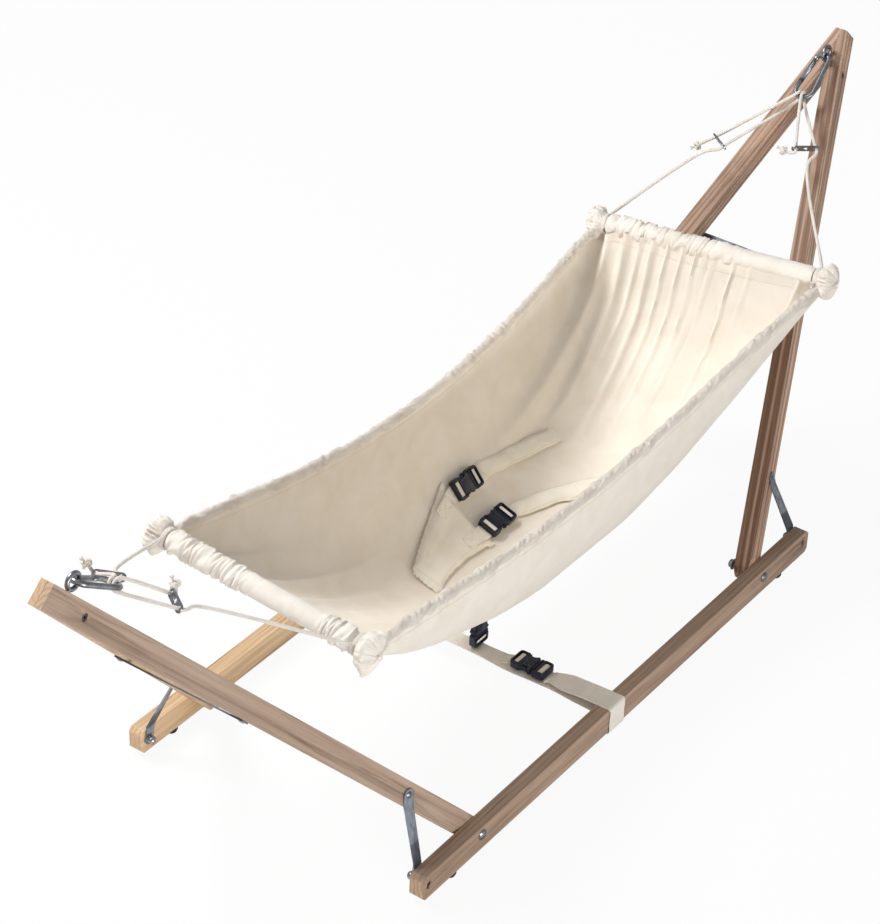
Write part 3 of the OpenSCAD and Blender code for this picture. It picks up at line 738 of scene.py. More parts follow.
@dataclass(frozen=True)
class MouldedFinish:
    """Moulded plastic or rubber with a fine grain."""

    name: str
    colour: Colour
    lift: Colour
    roughness: float
    grain: float = 2600.0

    def make(self) -> Look:
        """The material."""
        b = Bench(self.name)
        place = b.coords("Object")
        scuffs = b.span(b.noise(place, 160, 5.0, 0.4), 0.5, 0.8)
        base = b.blend(b.times(scuffs, 0.5), self.colour, self.lift)
        b.bump(b.noise(place, self.grain, 1.0), 0.18, 0.0002)
        rough = b.span(scuffs, 0.0, 1.0, self.roughness, self.roughness + 0.15)
        return b.finish(base, rough, Specular_IOR_Level=0.5)


class Weave(Enum):
    """Kinds of woven surface, with the pitch of their threads in metres."""

    PLAIN = 0.0011
    WEBBING = 0.0018
    BRAID = 0.0042


@dataclass(frozen=True)
class ClothFinish:
    """Natural cotton, with its weave from the map of the piece and slubs in the yarn."""

    name: str
    lit: Colour = tone(250, 242, 230)
    shade: Colour = tone(238, 226, 208)
    weave: Weave = Weave.PLAIN
    rough: float = 0.92
    relief: float = 0.35
    from_object: bool = False

    def threads(self, b: Bench, source: Socket) -> Socket:
        """Height of the threads from 0 to 1.

        Args:
            b: The bench to work on.
            source: Coordinates in metres.

        Returns:
            The height.
        """
        wave = FULL_TURN / self.weave.value
        along, over, _ = b.parts(source)
        phase = b.times(along, wave)
        if self.weave is Weave.BRAID:
            lean = b.times(over, wave * 1.2)
            one, two = (b.math("SINE", b.math(sign, phase, lean)) for sign in ("ADD", "SUBTRACT"))
            return b.math("MAXIMUM", one, two)
        weft = b.times(over, wave * (0.55 if self.weave is Weave.WEBBING else 1))
        return b.times(b.math("SINE", phase), b.math("SINE", weft))

    def make(self) -> Look:
        """The material."""
        b = Bench(self.name)
        place = b.coords("Object")
        source = place if self.from_object else b.coords("UV")
        threads = self.threads(b, source)
        slubs = b.span(b.noise(b.mapped(source, (60, 900, 900)), 1.0, 2.0), 0.55, 0.8)
        soft = b.noise(place, 26, 4.0, 0.5)
        base = b.blend(b.times(b.span(soft, 0.3, 0.8), 0.55), self.lit, self.shade)
        base = b.blend(b.times(slubs, 0.22), base, self.shade)
        base = b.blend(b.times(b.span(threads, -1, -0.2, 1, 0), 0.12), base, self.shade)
        crush = b.noise(place, 150, 3.0, 0.8)
        height = b.math("ADD", b.times(threads, 0.35), b.times(crush, 1.6))
        b.bump(height, self.relief, 0.0006)
        return b.finish(base, self.rough, Sheen_Weight=0.25, Sheen_Roughness=0.5, Specular_IOR_Level=0.2)


class Finishes:
    """All materials of the cradle."""

    def __init__(self) -> None:
        """Makes the materials."""
        rise, lean = math.radians(47.8), math.radians(15.72)
        self.legs: dict[tuple[End, Side], Look] = {}
        leg_tones = {
            (End.FOOT, Side.RIGHT): (tone(192, 166, 146), tone(154, 129, 111), 0.3),
            (End.FOOT, Side.LEFT): (tone(218, 188, 154), tone(190, 156, 122), 0.35),
            (End.HEAD, Side.RIGHT): (tone(218, 184, 160), tone(154, 116, 94), 0.85),
            (End.HEAD, Side.LEFT): (tone(196, 164, 142), tone(142, 108, 86), 0.75),
        }
        for end in End:
            for side in Side:
                flat = Vector((math.cos(lean), -side.value * math.sin(lean), 0))
                way = Vector((end.value * flat.x * math.cos(rise), flat.y, flat.x * math.sin(rise)))
                pale, deep, contrast = leg_tones[end, side]
                # The head right leg's inboard face gets painted shade mixed with its dark heartwood.
                shaded_inboard = Vector((-end.value * math.sin(rise), 0, math.cos(rise)))
                self.legs[end, side] = WoodFinish(
                    f"ash_leg_{end.name}_{side.name}".lower(),
                    way,
                    pith=(0.3 * side.value, 0.03 + 0.02 * end.value, 0.035 * side.value),
                    pale=pale,
                    deep=deep,
                    contrast=contrast,
                    dark_face=shaded_inboard if end is End.HEAD and side is Side.RIGHT else Vector((0, 0, 0)),
                ).make()
        rail_tones = {
            Side.RIGHT: (tone(190, 163, 142), tone(148, 121, 102)),
            Side.LEFT: (tone(226, 196, 158), tone(190, 156, 120)),
        }
        self.rails = {
            side: WoodFinish(
                f"ash_rail_{side.name}".lower(), Vector((1, 0, 0)), pith=(0.4 * side.value, 0.02, 0.04),
                pale=pale, deep=deep, contrast=0.4,
            ).make()
            for side, (pale, deep) in rail_tones.items()
        }
        rod = WoodFinish("ash_rod", Vector((0, 1, 0)), pale=tone(225, 200, 165), deep=tone(200, 168, 130))
        self.rod = rod.make()
        self.zinc = MetalFinish("zinc_plate").make()
        brushed_y, brushed_z = (220, 24, 220), (220, 220, 24)
        bar = MetalFinish("crossbar_plate", tone(122, 126, 136), tone(88, 92, 102), 0.55, brushed_y)
        self.crossbar = bar.make()
        strut = MetalFinish(
            "strut_plate", tone(168, 174, 184), tone(128, 134, 144), 0.38, brushed_z, bend=(0.048, 0.07))
        self.strut = strut.make()
        self.dark_steel = MetalFinish("sunk_bolt_steel", tone(120, 118, 118), tone(70, 68, 68), 0.4).make()
        self.rubber = MouldedFinish("foot_rubber", tone(24, 24, 26), tone(58, 58, 60), 0.7).make()
        self.plastic = MouldedFinish("buckle_plastic", tone(20, 25, 45), tone(46, 52, 76), 0.34).make()
        self.cotton = ClothFinish("hammock_cotton").make()
        self.gather = self.cloth("gathered_cotton", (253, 247, 238), (232, 219, 203), 0.6)
        self.hem = self.cloth("rolled_hem_cotton", (246, 237, 225), (216, 201, 188), 0.8)
        self.padded = self.cloth("padded_cotton", (255, 250, 238), (238, 228, 208), 0.6, from_object=True)
        self.webbing = self.cloth("cream_webbing", (254, 247, 236), (234, 224, 208), 0.7, Weave.WEBBING)
        self.cord = self.cloth("braided_cord", (240, 233, 224), (205, 196, 186), 0.9, Weave.BRAID)
        self.thread = self.cloth("sewing_thread", (226, 212, 188), (196, 180, 154), from_object=True)

    @staticmethod
    def cloth(
        name: str,
        lit: tuple[int, int, int],
        shade: tuple[int, int, int],
        relief: float = 0.35,
        weave: Weave = Weave.PLAIN,
        from_object: bool = False,
    ) -> Look:
        """A cotton in two screen colours.

        Args:
            name: Name of the material.
            lit: Its lighter colour, from 0 to 255.
            shade: Its darker one.
            relief: Strength of its threads and wrinkles.
            weave: How it is woven.
            from_object: Whether its weave follows the object and not the map.

        Returns:
            The material.
        """
        finish = ClothFinish(name, tone(*lit), tone(*shade), weave, relief=relief, from_object=from_object)
        return finish.make()


# Surfaces that the soft pieces follow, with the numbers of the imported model


@dataclass(frozen=True)
class Rod:
    """A spreader rod, with its middle, half vector and the direction towards the cloth."""

    name: str
    middle: Vector
    half: Vector
    inward: Vector

    @property
    def length(self) -> float:
        """Half length in metres."""
        return self.half.length

    @property
    def axis(self) -> Vector:
        """Direction of the rod to the left."""
        return self.half.normalized()

    def around(self, t: float, radius: float, angle: float) -> Vector:
        """Point beside the rod.

        Args:
            t: Distance from the middle to the left, in metres.
            radius: Distance from the middle line.
            angle: Angle in radians, 0 towards the cloth and a quarter turn up.

        Returns:
            The point.
        """
        inward = (self.inward - self.axis * self.inward.dot(self.axis)).normalized()
        up = inward.cross(self.axis) if self.inward.x > 0 else self.axis.cross(inward)
        return self.middle + self.axis * t + (inward * math.cos(angle) + up * math.sin(angle)) * radius


def head_rod() -> Rod:
    """The rod at the head end."""
    roll, turn, half = math.radians(-3.6), math.radians(5), 0.182
    way = Vector((-math.cos(roll) * math.sin(turn), math.cos(roll) * math.cos(turn), math.sin(roll)))
    return Rod("head", mm(504, 0, 379), way * half, Vector((-1, 0, 0)))


def foot_rod() -> Rod:
    """The rod at the foot end."""
    roll, half = math.radians(4.2), 0.162
    way = Vector((0, math.cos(roll), math.sin(roll)))
    return Rod("foot", mm(-469, 0, 374), way * half, Vector((1, 0, 0)))


@dataclass(frozen=True)
class ClothSurface:
    """The hung cloth.

    A place on it is s, from 0 at the foot rod to 1 at the head rod, and a, from 0 degrees at the right hem
    through 90 at the floor to 180 at the left hem.
    """

    foot: Rod = field(default_factory=foot_rod)
    head: Rod = field(default_factory=head_rod)
    deep: float = 0.192
    taper: float = 0.13
    sag: float = 0.067
    tilt: float = 0.010
    waist: float = 0.17
    power: float = 0.83
    foot_power: float = 0.5
    foot_power_end: float = 0.35
    foot_rise: tuple[float, float] = (2, 0.8)
    head_rise: tuple[float, float] = (3, 0.66)
    tuck: float = 0.0177
    reach: float = 0.94

    @property
    def span(self) -> float:
        """Distance between the middles of the rods."""
        return (self.head.middle - self.foot.middle).length

    def power_at(self, s: float) -> float:
        """Power of the section's curve, squarer towards the foot rod."""
        return mix(self.foot_power, self.power, ease(0, self.foot_power_end, s))

    def rise(self, s: float) -> float:
        """Share of the full depth that the cloth has."""
        power, root = self.foot_rise if s < 0.5 else self.head_rise
        return max(1 - abs(2 * s - 1) ** power, 0) ** root

    def swing(self, s: float, a: float) -> float:
        """Place across the cloth, from -1 at the right hem to 1 at the left one."""
        return -signed_power(math.cos(math.radians(a)), self.power_at(s))

    def angle(self, s: float, t: float) -> float:
        """Angle in degrees of a place across the cloth from -1 to 1."""
        return math.degrees(math.acos(-signed_power(t, 1 / self.power_at(s))))

    def point(self, s: float, a: float) -> Vector:
        """Point of the inner face."""
        bow = 4 * s * (1 - s)
        depth = self.deep * (1 - self.taper * (1 - s)) * self.rise(s)
        across = self.swing(s, a)
        half = self.foot.half.lerp(self.head.half, s) * (1 - self.waist * bow) * self.reach
        sag = (self.sag - self.tilt * across) * max(bow, 0) ** 1.2
        drop = self.tuck * (1 - bow) ** 5 + sag + depth * abs(math.sin(math.radians(a))) ** self.power_at(s)
        return self.foot.middle.lerp(self.head.middle, s) + half * across - Vector((0, 0, drop))

    def normal(self, s: float, a: float) -> Vector:
        """Direction square to the cloth, outward."""
        ds = self.point(min(s + 0.004, 1), a) - self.point(max(s - 0.004, 0), a)
        da = self.point(s, min(a + 1, 180)) - self.point(s, max(a - 1, 0))
        return da.cross(ds).normalized()

    def at(self, s: float, a: float, h: float) -> Vector:
        """Point at a height outside the inner face."""
        return self.point(s, a) + self.normal(s, a) * h

    def along(self, s: float, a: float) -> Vector:
        """Direction of the cloth towards the head rod."""
        return (self.point(s + 0.01, a) - self.point(s - 0.01, a)).normalized()


# Sub-assemblies


@dataclass
class Studio:
    """Camera, lamps, floor and world."""

    eye: Vector = field(default_factory=lambda: Vector((-2.602266, -1.708680, 2.435290)))
    heading: float = 34.564
    down: float = 34.495
    roll: float = 2.383
    lens: float = 116.59
    sensor: float = 36
    sees_to: float = 60
    floor_reach: float = 30
    floor_glow: float = 0.93
    daylight: float = 0.31

    def camera(self) -> None:
        """Sets the camera at the photograph's place."""
        az, el, roll = (math.radians(a) for a in (self.heading, self.down, self.roll))
        forward = Vector((math.cos(el) * math.cos(az), math.cos(el) * math.sin(az), -math.sin(el)))
        right = Vector((math.sin(az), -math.cos(az), 0))
        up = right.cross(forward)
        x_axis = right * math.cos(roll) + up * math.sin(roll)
        y_axis = up * math.cos(roll) - right * math.sin(roll)
        data = bpy.data.cameras.new("photo_camera")
        data.sensor_fit = "AUTO"
        data.sensor_width = self.sensor
        data.lens = self.lens
        data.clip_end = self.sees_to
        camera = bpy.data.objects.new("photo_camera", data)
        bpy.context.scene.collection.objects.link(camera)
        matrix = Matrix((x_axis, y_axis, -forward)).transposed().to_4x4()
        matrix.translation = self.eye
        camera.matrix_world = matrix
        bpy.context.scene.camera = camera

    def lamp(self, name: str, place: Vector, aim: Vector, size: tuple[float, float], watts: float) -> None:
        """A soft lamp.

        Args:
            name: Name of the lamp.
            place: Where it hangs.
            aim: Point that it shines at.
            size: Width and height of its face in metres.
            watts: Its power.
        """
        data = bpy.data.lights.new(name, "AREA")
        data.shape = "RECTANGLE"
        data.size, data.size_y = size
        data.energy = watts
        lamp = bpy.data.objects.new(name, data)
        lamp.location = place
        lamp.rotation_euler = (aim - place).to_track_quat("-Z", "Y").to_euler()
        bpy.context.scene.collection.objects.link(lamp)

    def floor(self) -> None:
        """A wide pale floor that keeps the shadow and reads as white."""
        bm = bmesh.new()
        bmesh.ops.create_grid(bm, x_segments=1, y_segments=1, size=self.floor_reach)
        floor = loose_object(bm, "floor")
        b = Bench("pale_floor")
        b.finish((0.86, 0.86, 0.86, 1), 0.9)
        glow = b.add("ShaderNodeEmission")
        glow.inputs["Strength"].default_value = 1.0
        both = b.add("ShaderNodeMixShader")
        seen = b.add("ShaderNodeLightPath").outputs["Is Camera Ray"]
        b.join(b.times(seen, self.floor_glow), both.inputs[0])
        b.join(b.shader.outputs[0], both.inputs[1])
        b.join(glow.outputs[0], both.inputs[2])
        b.join(both.outputs[0], b.tree.nodes["Material Output"].inputs[0])
        floor.data.materials.append(b.material)

    def world(self) -> None:
        """White for what sees the surroundings, and a softer white as light."""
        world = bpy.data.worlds.new("studio")
        world.use_nodes = True
        tree = world.node_tree
        path = tree.nodes.new("ShaderNodeLightPath")
        seen = tree.nodes.new("ShaderNodeMath")
        seen.operation = "MAXIMUM"
        tree.links.new(path.outputs["Is Camera Ray"], seen.inputs[0])
        tree.links.new(path.outputs["Is Transmission Ray"], seen.inputs[1])
        strength = tree.nodes.new("ShaderNodeMapRange")
        strength.inputs["To Min"].default_value = self.daylight
        strength.inputs["To Max"].default_value = 1.0
        tree.links.new(seen.outputs[0], strength.inputs["Value"])
        back = tree.nodes["Background"]
        back.inputs["Color"].default_value = (1, 1, 1, 1)
        tree.links.new(strength.outputs["Result"], back.inputs["Strength"])
        bpy.context.scene.world = world

    def build(self) -> None:
        """Sets up the studio."""
        self.camera()
        aim = Vector((0, 0, 0.3))
        self.lamp("key", Vector((-0.9, 1.7, 3.0)), aim, (1.2, 1.2), 101)
        self.lamp("fill", Vector((-2.6, -2.4, 2.2)), aim, (2.4, 2.4), 6)
        self.lamp("side", Vector((-1.4, -3.1, 0.28)), aim, (2.2, 0.4), 50)
        self.floor()
        self.world()
        bpy.context.scene.view_settings.view_transform = "Standard"


@dataclass
class HangingCords:
    """Four braided cords, each from its rod knot through its adjuster, round the hook and back."""

    look: Finishes
    radius: float = 0.00225
    routes: dict[str, tuple[Point, ...]] = field(default_factory=lambda: {
        "head_cord_right": (
            (530.5, -157.5, 398), (536, -153, 401.5), (641.5, -62, 475), (663.5, -62, 484), (672.5, -53, 490),
            (723.5, -3, 522), (725.5, -3, 526), (724, -3, 531), (720, -3, 534), (715.5, -3, 533.5),
            (655, -33.5, 490.5), (645.5, -38.5, 484), (642.5, -29.5, 482), (641.5, -18.5, 484)),
        "head_cord_left": (
            (502.5, 160.5, 378), (508.5, 157, 382), (612.5, 85, 455.5), (617.5, 63.5, 465.5),
            (628.5, 57.5, 471.5), (723.5, 3, 522), (725.5, 3, 526), (724, 3, 531), (720, 3, 534),
            (715.5, 3, 533.5),
            (643, 79, 472), (635.5, 87.5, 465.5), (626.5, 94.5, 461.5), (618.5, 103.5, 455.5)),
        "foot_cord_right": (
            (-482, -140, 371.5), (-488, -136.5, 375.5), (-633, -40.5, 468.5), (-654.5, -42.5, 477.5),
            (-665, -36.5, 484.5), (-721.5, -3, 524.5), (-723.5, -3, 528.5), (-722.5, -3, 533.5),
            (-718.5, -3, 536.5), (-714, -3, 536.5), (-649.5, -15.5, 485.5), (-639.5, -17, 477.5),
            (-635.5, -14, 481.5), (-635.5, -11, 490.5)),
        "foot_cord_left": (
            (-482.5, 139, 392), (-489, 136, 395), (-652, 58, 481), (-661.5, 38.5, 489), (-672.5, 32, 495),
            (-721.5, 3, 524.5), (-723.5, 3, 528.5), (-722.5, 3, 533.5), (-718.5, 3, 536.5), (-714, 3, 536.5),
            (-682, 55.5, 496), (-676.5, 65, 488.5), (-678.5, 70, 495.5), (-684.5, 73, 506.5)),
    })
    lengths: dict[str, float] = field(default_factory=lambda: {
        "head_cord_right": 0.4145,
        "head_cord_left": 0.4926,
        "foot_cord_right": 0.4505,
        "foot_cord_left": 0.437,
    })
    route_step: float = 0.0025
    knot_back: float = 0.022
    knot_reach: float = 0.0036
    knot_steps: int = 48
    rod_radius: float = 0.010
    turn_steps: int = 36
    yarns: int = 7
    yarn_radius: float = 0.00062
    yarn_line: tuple[tuple[float, float], ...] = ((0, 0.0008), (0.003, 0.0012), (0.0065, 0.0026))

    def braided(self, route: Sequence[Vector]) -> Mesh:
        """A round cord along a route."""
        return tube(route, lambda u, angle: self.radius, 10)

    def end_knot(self, route: Sequence[Vector]) -> Mesh:
        """An overhand knot near the end of a route, with the frayed tip beyond it.

        Args:
            route: Points of the cord's middle line.

        Returns:
            The mesh of the knot.
        """
        tip, way, side, over = self.tip(route)
        loops = []
        for i in range(self.knot_steps + 1):
            t = FULL_TURN * i / self.knot_steps
            x = (math.sin(t) + 2 * math.sin(2 * t)) * self.knot_reach * 0.5
            y = (math.cos(t) - 2 * math.cos(2 * t)) * self.knot_reach * 0.5
            z = -math.sin(3 * t) * self.knot_reach * 0.55
            loops.append(tip - way * 0.004 + side * x + over * y + way * z)
        return tube(loops, lambda u, angle: self.radius * 0.95, 8)

    @staticmethod
    def tip(route: Sequence[Vector]) -> tuple[Vector, Vector, Vector, Vector]:
        """End of a route, its direction there and two directions square to it."""
        way = (route[-1] - route[-4]).normalized()
        side = way.orthogonal().normalized()
        return route[-1], way, side, way.cross(side)

    def fray(self, route: Sequence[Vector]) -> Mesh:
        """Loose yarns beyond the knot."""
        tip, way, side, over = self.tip(route)
        yarns = []
        for i in range(self.yarns):
            angle = FULL_TURN * i / self.yarns
            out = side * math.cos(angle) + over * math.sin(angle)
            ends = [tip + way * on + out * off for on, off in self.yarn_line]
            yarns.append(tube(smooth_route(ends, 0.001), lambda u, a: self.yarn_radius * (1 - 0.5 * u), 6))
        return joined(yarns)

    def rod_knots(self) -> None:
        """Two turns of cord round each rod end."""
        coils = []
        for rod in (head_rod(), foot_rod()):
            for side in Side:
                middle = side.value * (rod.length - self.knot_back)
                ring = self.rod_radius + self.radius + 0.0003
                steps = 2 * self.turn_steps
                turns = [
                    rod.around(
                        middle + (i / steps - 0.5) * self.radius * 1.9, ring, FULL_TURN * i / self.turn_steps)
                    for i in range(steps + 1)
                ]
                coils.append(self.braided(turns))
        piece(joined(coils), "rod_knots", self.look.cord, "cradle", Slot.CORD, ["cord_knots"])

    def build(self) -> None:
        for name, points in self.routes.items():
            route = smooth_route([mm(*p) for p in points], self.route_step)
            cord = piece(self.braided(route), f"{name}_braid", self.look.cord, "cradle", Slot.CORD, [name])
            tail = joined([self.end_knot(route), self.fray(route)])
            knot = piece(tail, f"{name}_tail_knot", self.look.cord, "cradle", Slot.CORD)
            mm(*points[0])
            log.info("%s: %.3f m", name, route_length(route))
        self.rod_knots()


@dataclass
class Stand:
    """Rails, legs, feet and steel of the stand."""

    look: Finishes
    ease: float = 0.0012
    sharp_from: float = 32
    short: float = 0.012

    def eased(self, node: str, look: Look) -> None:
        """A wooden piece with its sharp edges eased.

        Args:
            node: Node that it stands for.
            look: Its wood.
        """
        bm = bmesh.new()
        bm.from_mesh(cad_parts[node].data)
        bmesh.ops.remove_doubles(bm, verts=bm.verts, dist=WELD)
        bmesh.ops.dissolve_limit(bm, angle_limit=math.radians(1), verts=bm.verts, edges=bm.edges)
        angle = math.radians(self.sharp_from)
        sharp = [
            e for e in bm.edges
            if e.is_manifold and e.calc_face_angle(0) > angle and e.calc_length() > self.short
        ]
        rounded(bm, sharp, self.ease, 3, clamped=True)
        bmesh.ops.triangulate(bm, faces=[f for f in bm.faces if len(f.verts) > 4])
        piece(bm, f"{node}_eased", look, "stand", Slot.STAND_WOOD, [node], crease=25)

    def dress(self, nodes: Iterable[str], look: Look) -> None:
        """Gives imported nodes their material."""
        for node in nodes:
            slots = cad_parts[node].data.materials
            for i in range(len(slots)):
                slots[i] = look
            if not slots:
                slots.append(look)

    def build(self) -> None:
        """Dresses the stand."""
        for side in Side:
            self.eased(f"rail_{side.name.lower()}", self.look.rails[side])
            for end in End:
                self.eased(f"{end.name.lower()}_leg_{side.name.lower()}", self.look.legs[end, side])
        self.dress(["rubber_feet"], self.look.rubber)
        self.dress(["hinge_bolts", "hinge_nuts", "cap_nuts"], self.look.zinc)
        self.dress(["end_bolts", "head_cross_bolt", "foot_cross_bolt"], self.look.dark_steel)
        for end in ("head", "foot"):
            self.dress([f"{end}_eye_bolt", f"{end}_crossbar_screws", f"{end}_strut_screws"], self.look.zinc)
            self.dress([f"{end}_crossbar"], self.look.crossbar)
            self.dress([f"{end}_strut_right", f"{end}_strut_left"], self.look.strut)
            self.dress([f"{end}_spreader_rod"], self.look.rod)
        log.info("stand dressed")


@dataclass
class Suspension:
    """Snap hooks with their gates, and the three-hole cord adjusters."""

    look: Finishes

    def build(self) -> None:
        """Dresses the hooks and the adjusters."""
        for node in ("head_snap_hook", "head_snap_gate", "foot_snap_hook", "foot_snap_gate"):
            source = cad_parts[node]
            bm = bmesh.new()
            bm.from_mesh(source.data)
            bmesh.ops.remove_doubles(bm, verts=bm.verts, dist=WELD)
            body = "cradle" if node.endswith("hook") else node.replace("_snap", "")
            piece(bm, f"{node}_smooth", self.look.zinc, body, Slot.ZINC, [node], crease=50)
        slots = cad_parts["cord_adjusters"].data.materials
        slots[0] = self.look.zinc
        log.info("suspension dressed")


@dataclass(frozen=True)
class Fold:
    """One lengthwise fold of the cloth that starts at a rod."""

    at: float
    width: float
    height: float
    reach: float
    drift: float = 0.0

    def lift(self, share: float, across: float) -> float:
        """Height of the fold.

        Args:
            share: Distance from the rod, as a share of the cloth.
            across: Place across the cloth, from -1 to 1.

        Returns:
            Height in metres, inward.
        """
        off = (across - self.at - self.drift * share) / (self.width * (1 + 2.2 * share))
        off *= 1.5 if off > 0 else 0.8
        return self.height * MM * math.exp(-off * off - (share / self.reach) ** 2)


@dataclass
class Hammock:
    """The cotton hammock: its cloth, rolled hems, gathered sleeves and rosettes."""

    look: Finishes
    surface: ClothSurface = field(default_factory=ClothSurface)
    thickness: float = 0.0011
    hem_radius: float = 0.006
    hem_end: float = 0.02
    sleeve_radius: float = 0.0142
    sleeve_inner: float = 0.0112
    rosette_inner: float = 0.0108
    rosette_profile: tuple[tuple[float, float], ...] = (
        (0.0, 11.4), (0.1, 14.5), (0.25, 19.0), (0.5, 21.5), (0.66, 20.0), (0.78, 15.5), (0.88, 10.0),
        (1.0, 0.4),
    )
    sleeve_seam: float = 0.006
    hem_seam: float = 1.8
    evenness: float = 0.6
    head_folds: tuple[Fold, ...] = (
        Fold(0.88, 0.05, 13.0, 0.36, -0.34), Fold(0.7, 0.036, 9.0, 0.26, -0.42),
        Fold(0.57, 0.018, 5.4, 0.11, -0.3), Fold(0.46, 0.024, 7.4, 0.26, -0.5),
        Fold(0.33, 0.014, 4.6, 0.13, -0.42), Fold(0.2, 0.013, 4.4, 0.16, -0.4),
        Fold(0.08, 0.011, 4.2, 0.14, -0.44), Fold(0.0, 0.009, 3.8, 0.17, -0.38),
        Fold(-0.07, 0.009, 3.0, 0.07, -0.3), Fold(-0.25, 0.01, 4.2, 0.15, -0.46),
        Fold(-0.4, 0.02, 1.2, 0.06, -0.1), Fold(-0.82, 0.02, 3.0, 0.05, 0.1),
        Fold(-0.92, 0.03, 4.5, 0.1, 0.2),
    )
    foot_folds: tuple[Fold, ...] = (
        Fold(0.9, 0.06, 6.0, 0.2, -0.2), Fold(0.6, 0.04, 6.0, 0.3, 0.1),
        Fold(0.36, 0.035, 5.6, 0.32, 0.0), Fold(0.14, 0.03, 4.4, 0.28, -0.1),
        Fold(-0.06, 0.026, 3.2, 0.2, -0.1), Fold(-0.4, 0.03, 2.2, 0.12, 0.1),
        Fold(-0.62, 0.035, 3.0, 0.12, 0.1), Fold(-0.9, 0.04, 5.0, 0.14, 0.2),
    )

    def folds(self, s: float, t: float) -> float:
        """Height of the folds, inward.

        Args:
            s: Share of the way from foot to head.
            t: Place across the cloth, from -1 to 1.

        Returns:
            Height in metres.
        """
        height = sum(f.lift(1 - s, t) for f in self.head_folds) + sum(f.lift(s, t) for f in self.foot_folds)
        under_harness = ease(0.3, 0.38, s) * (1 - ease(0.74, 0.8, s)) * (1 - ease(0.55, 0.8, abs(t)))
        quiet = 1 - under_harness
        slack = wobble(s * 7, t * 2.6, 4.2) * 3.0 + wobble(s * 17, t * 5, 8.1) * 0.9
        return height * quiet + slack * MM * (0.25 + 0.75 * quiet) * ease(0, 0.05, s) * ease(0, 0.05, 1 - s)

    def puckers(self, s: float, a: float, t: float) -> float:
        """Height of the short wrinkles below a hem and of the crease along each wall, inward."""
        side = 1 if t > 0 else -1
        edge = min(a, 180 - a)
        near = math.exp(-((edge / 6) ** 2))
        bunch = 0.35 + 0.65 * ease(-0.2, 0.3, wobble(s * 11, side * 7, 0))
        wave = wobble(s * 62 + side * 9, edge * 0.12, 2) * 2.6 + wobble(s * 120, side * 3, 5) * 1.0
        crease = 0.72 + 0.06 * wobble(s * 3, side * 4, 1)
        groove = math.exp(-(((abs(t) - crease) / 0.035) ** 2))
        groove *= ease(0.08, 0.25, s) * (1 - ease(0.7, 0.86, s))
        grooved = groove * (1.8 if side < 0 else 0.6)
        return (wave * near * bunch + grooved) * MM * ease(0, 0.04, s) * ease(0, 0.04, 1 - s)

    def share_along(self, u: float) -> float:
        """Place along the cloth of a grid row, with the rows closer together at the rods."""
        return mix(u, (1 - math.cos(math.pi * u)) / 2, self.evenness)

    def cloth_place(self, u: float, v: float) -> Vector:
        """Point of the cloth's middle layer."""
        s = self.share_along(u)
        a = 180 * v
        t = self.surface.swing(s, a)
        seam_share = ease(0.0, 0.25, 1 - abs(t))
        lift = self.folds(s, t) * ease(0.0, 0.12, 1 - abs(t)) + self.puckers(s, a, t)
        for gone in (s, 1 - s):
            lift -= 0.0009 * math.exp(-(((gone - self.sleeve_seam) / 0.0012) ** 2))
        spot = self.surface.at(s, a, 0.0016 - lift)
        for rod, near in ((self.surface.foot, 1 - s), (self.surface.head, s)):
            pull = ease(0.93, 1.0, near)
            if pull > 0:
                angle = mix(-QUARTER_TURN, 0.2, seam_share)
                along = rod.length * self.surface.reach * t
                goal = rod.around(along, self.sleeve_radius + 0.0002, angle)
                spot += (goal - self.surface.point(1 if rod is self.surface.head else 0, a)) * pull
        return spot

    def cloth(self) -> bpy.types.Object:
        """The hung cloth."""
        bm = thickened(skin(self.cloth_place, 232, 206, (1.06, 0.66)), self.thickness)
        stands_for = ["hammock_cloth"]
        return piece(bm, "hung_cloth", self.look.cotton, "cradle", Slot.COTTON, stands_for, CLOTH_CREASE)

    def hem(self, side: Side) -> bpy.types.Object:
        """The puckered roll along one side.

        Args:
            side: Side of the cloth.

        Returns:
            The piece.
        """
        a = 0 if side is Side.RIGHT else 180
        seed = side.value * 31.0

        def place(u: float, v: float) -> Vector:
            """Point of the roll."""
            s = mix(self.hem_end, 1 - self.hem_end, u)
            way = self.surface.along(s, a)
            up = Vector((-way.z, 0, way.x)).normalized()
            out = way.cross(up)
            angle = FULL_TURN * v
            lean = math.sin(angle) * 1.4 * side.value
            bunch = 0.45 + 0.55 * ease(-0.25, 0.25, wobble(u * 19, seed, 3))
            wide = abs(wobble(u * 96 + lean, math.cos(angle) * 0.7, math.sin(angle) * 0.7 + seed))
            fine = wobble(u * 190 + 1.7 * lean, math.cos(angle) * 1.3, math.sin(angle) * 1.3 + seed)
            full = 0.84 + (0.9 * wide + 0.34 * fine) * bunch
            wander = wobble(u * 30, side.value * 3, 0) * 0.0016
            middle = self.surface.point(s, a) + Vector((0, side.value * 0.0012 + wander, 0))
            middle += up * (self.hem_radius - 0.0008)
            oval = out * math.cos(angle) * 0.88 + up * math.sin(angle) * 1.22
            return middle + oval * self.hem_radius * full

        bm = capped(skin(place, 520, 22, (0.98, 0.045), closed=True))
        name = side.name.lower()
        stands_for = [f"side_hem_{name}"]
        return piece(bm, f"rolled_hem_{name}", self.look.hem, "cradle", Slot.COTTON, stands_for, CLOTH_CREASE)

    def seams(self) -> bpy.types.Object:
        """Stitching below the sleeves and below the rolled hems, on both faces."""
        spots = []

        def on_cloth(s: float, a: float, face: float) -> Vector:
            """Point on a face of the cloth."""
            u = min(max(s, 0.0), 1.0)
            for _ in range(12):
                slope = mix(1, QUARTER_TURN * math.sin(math.pi * u), self.evenness)
                u = min(max(u - (self.share_along(u) - s) / slope, 0.0), 1.0)
            return self.cloth_place(u, a / 180) - self.surface.normal(s, a) * face

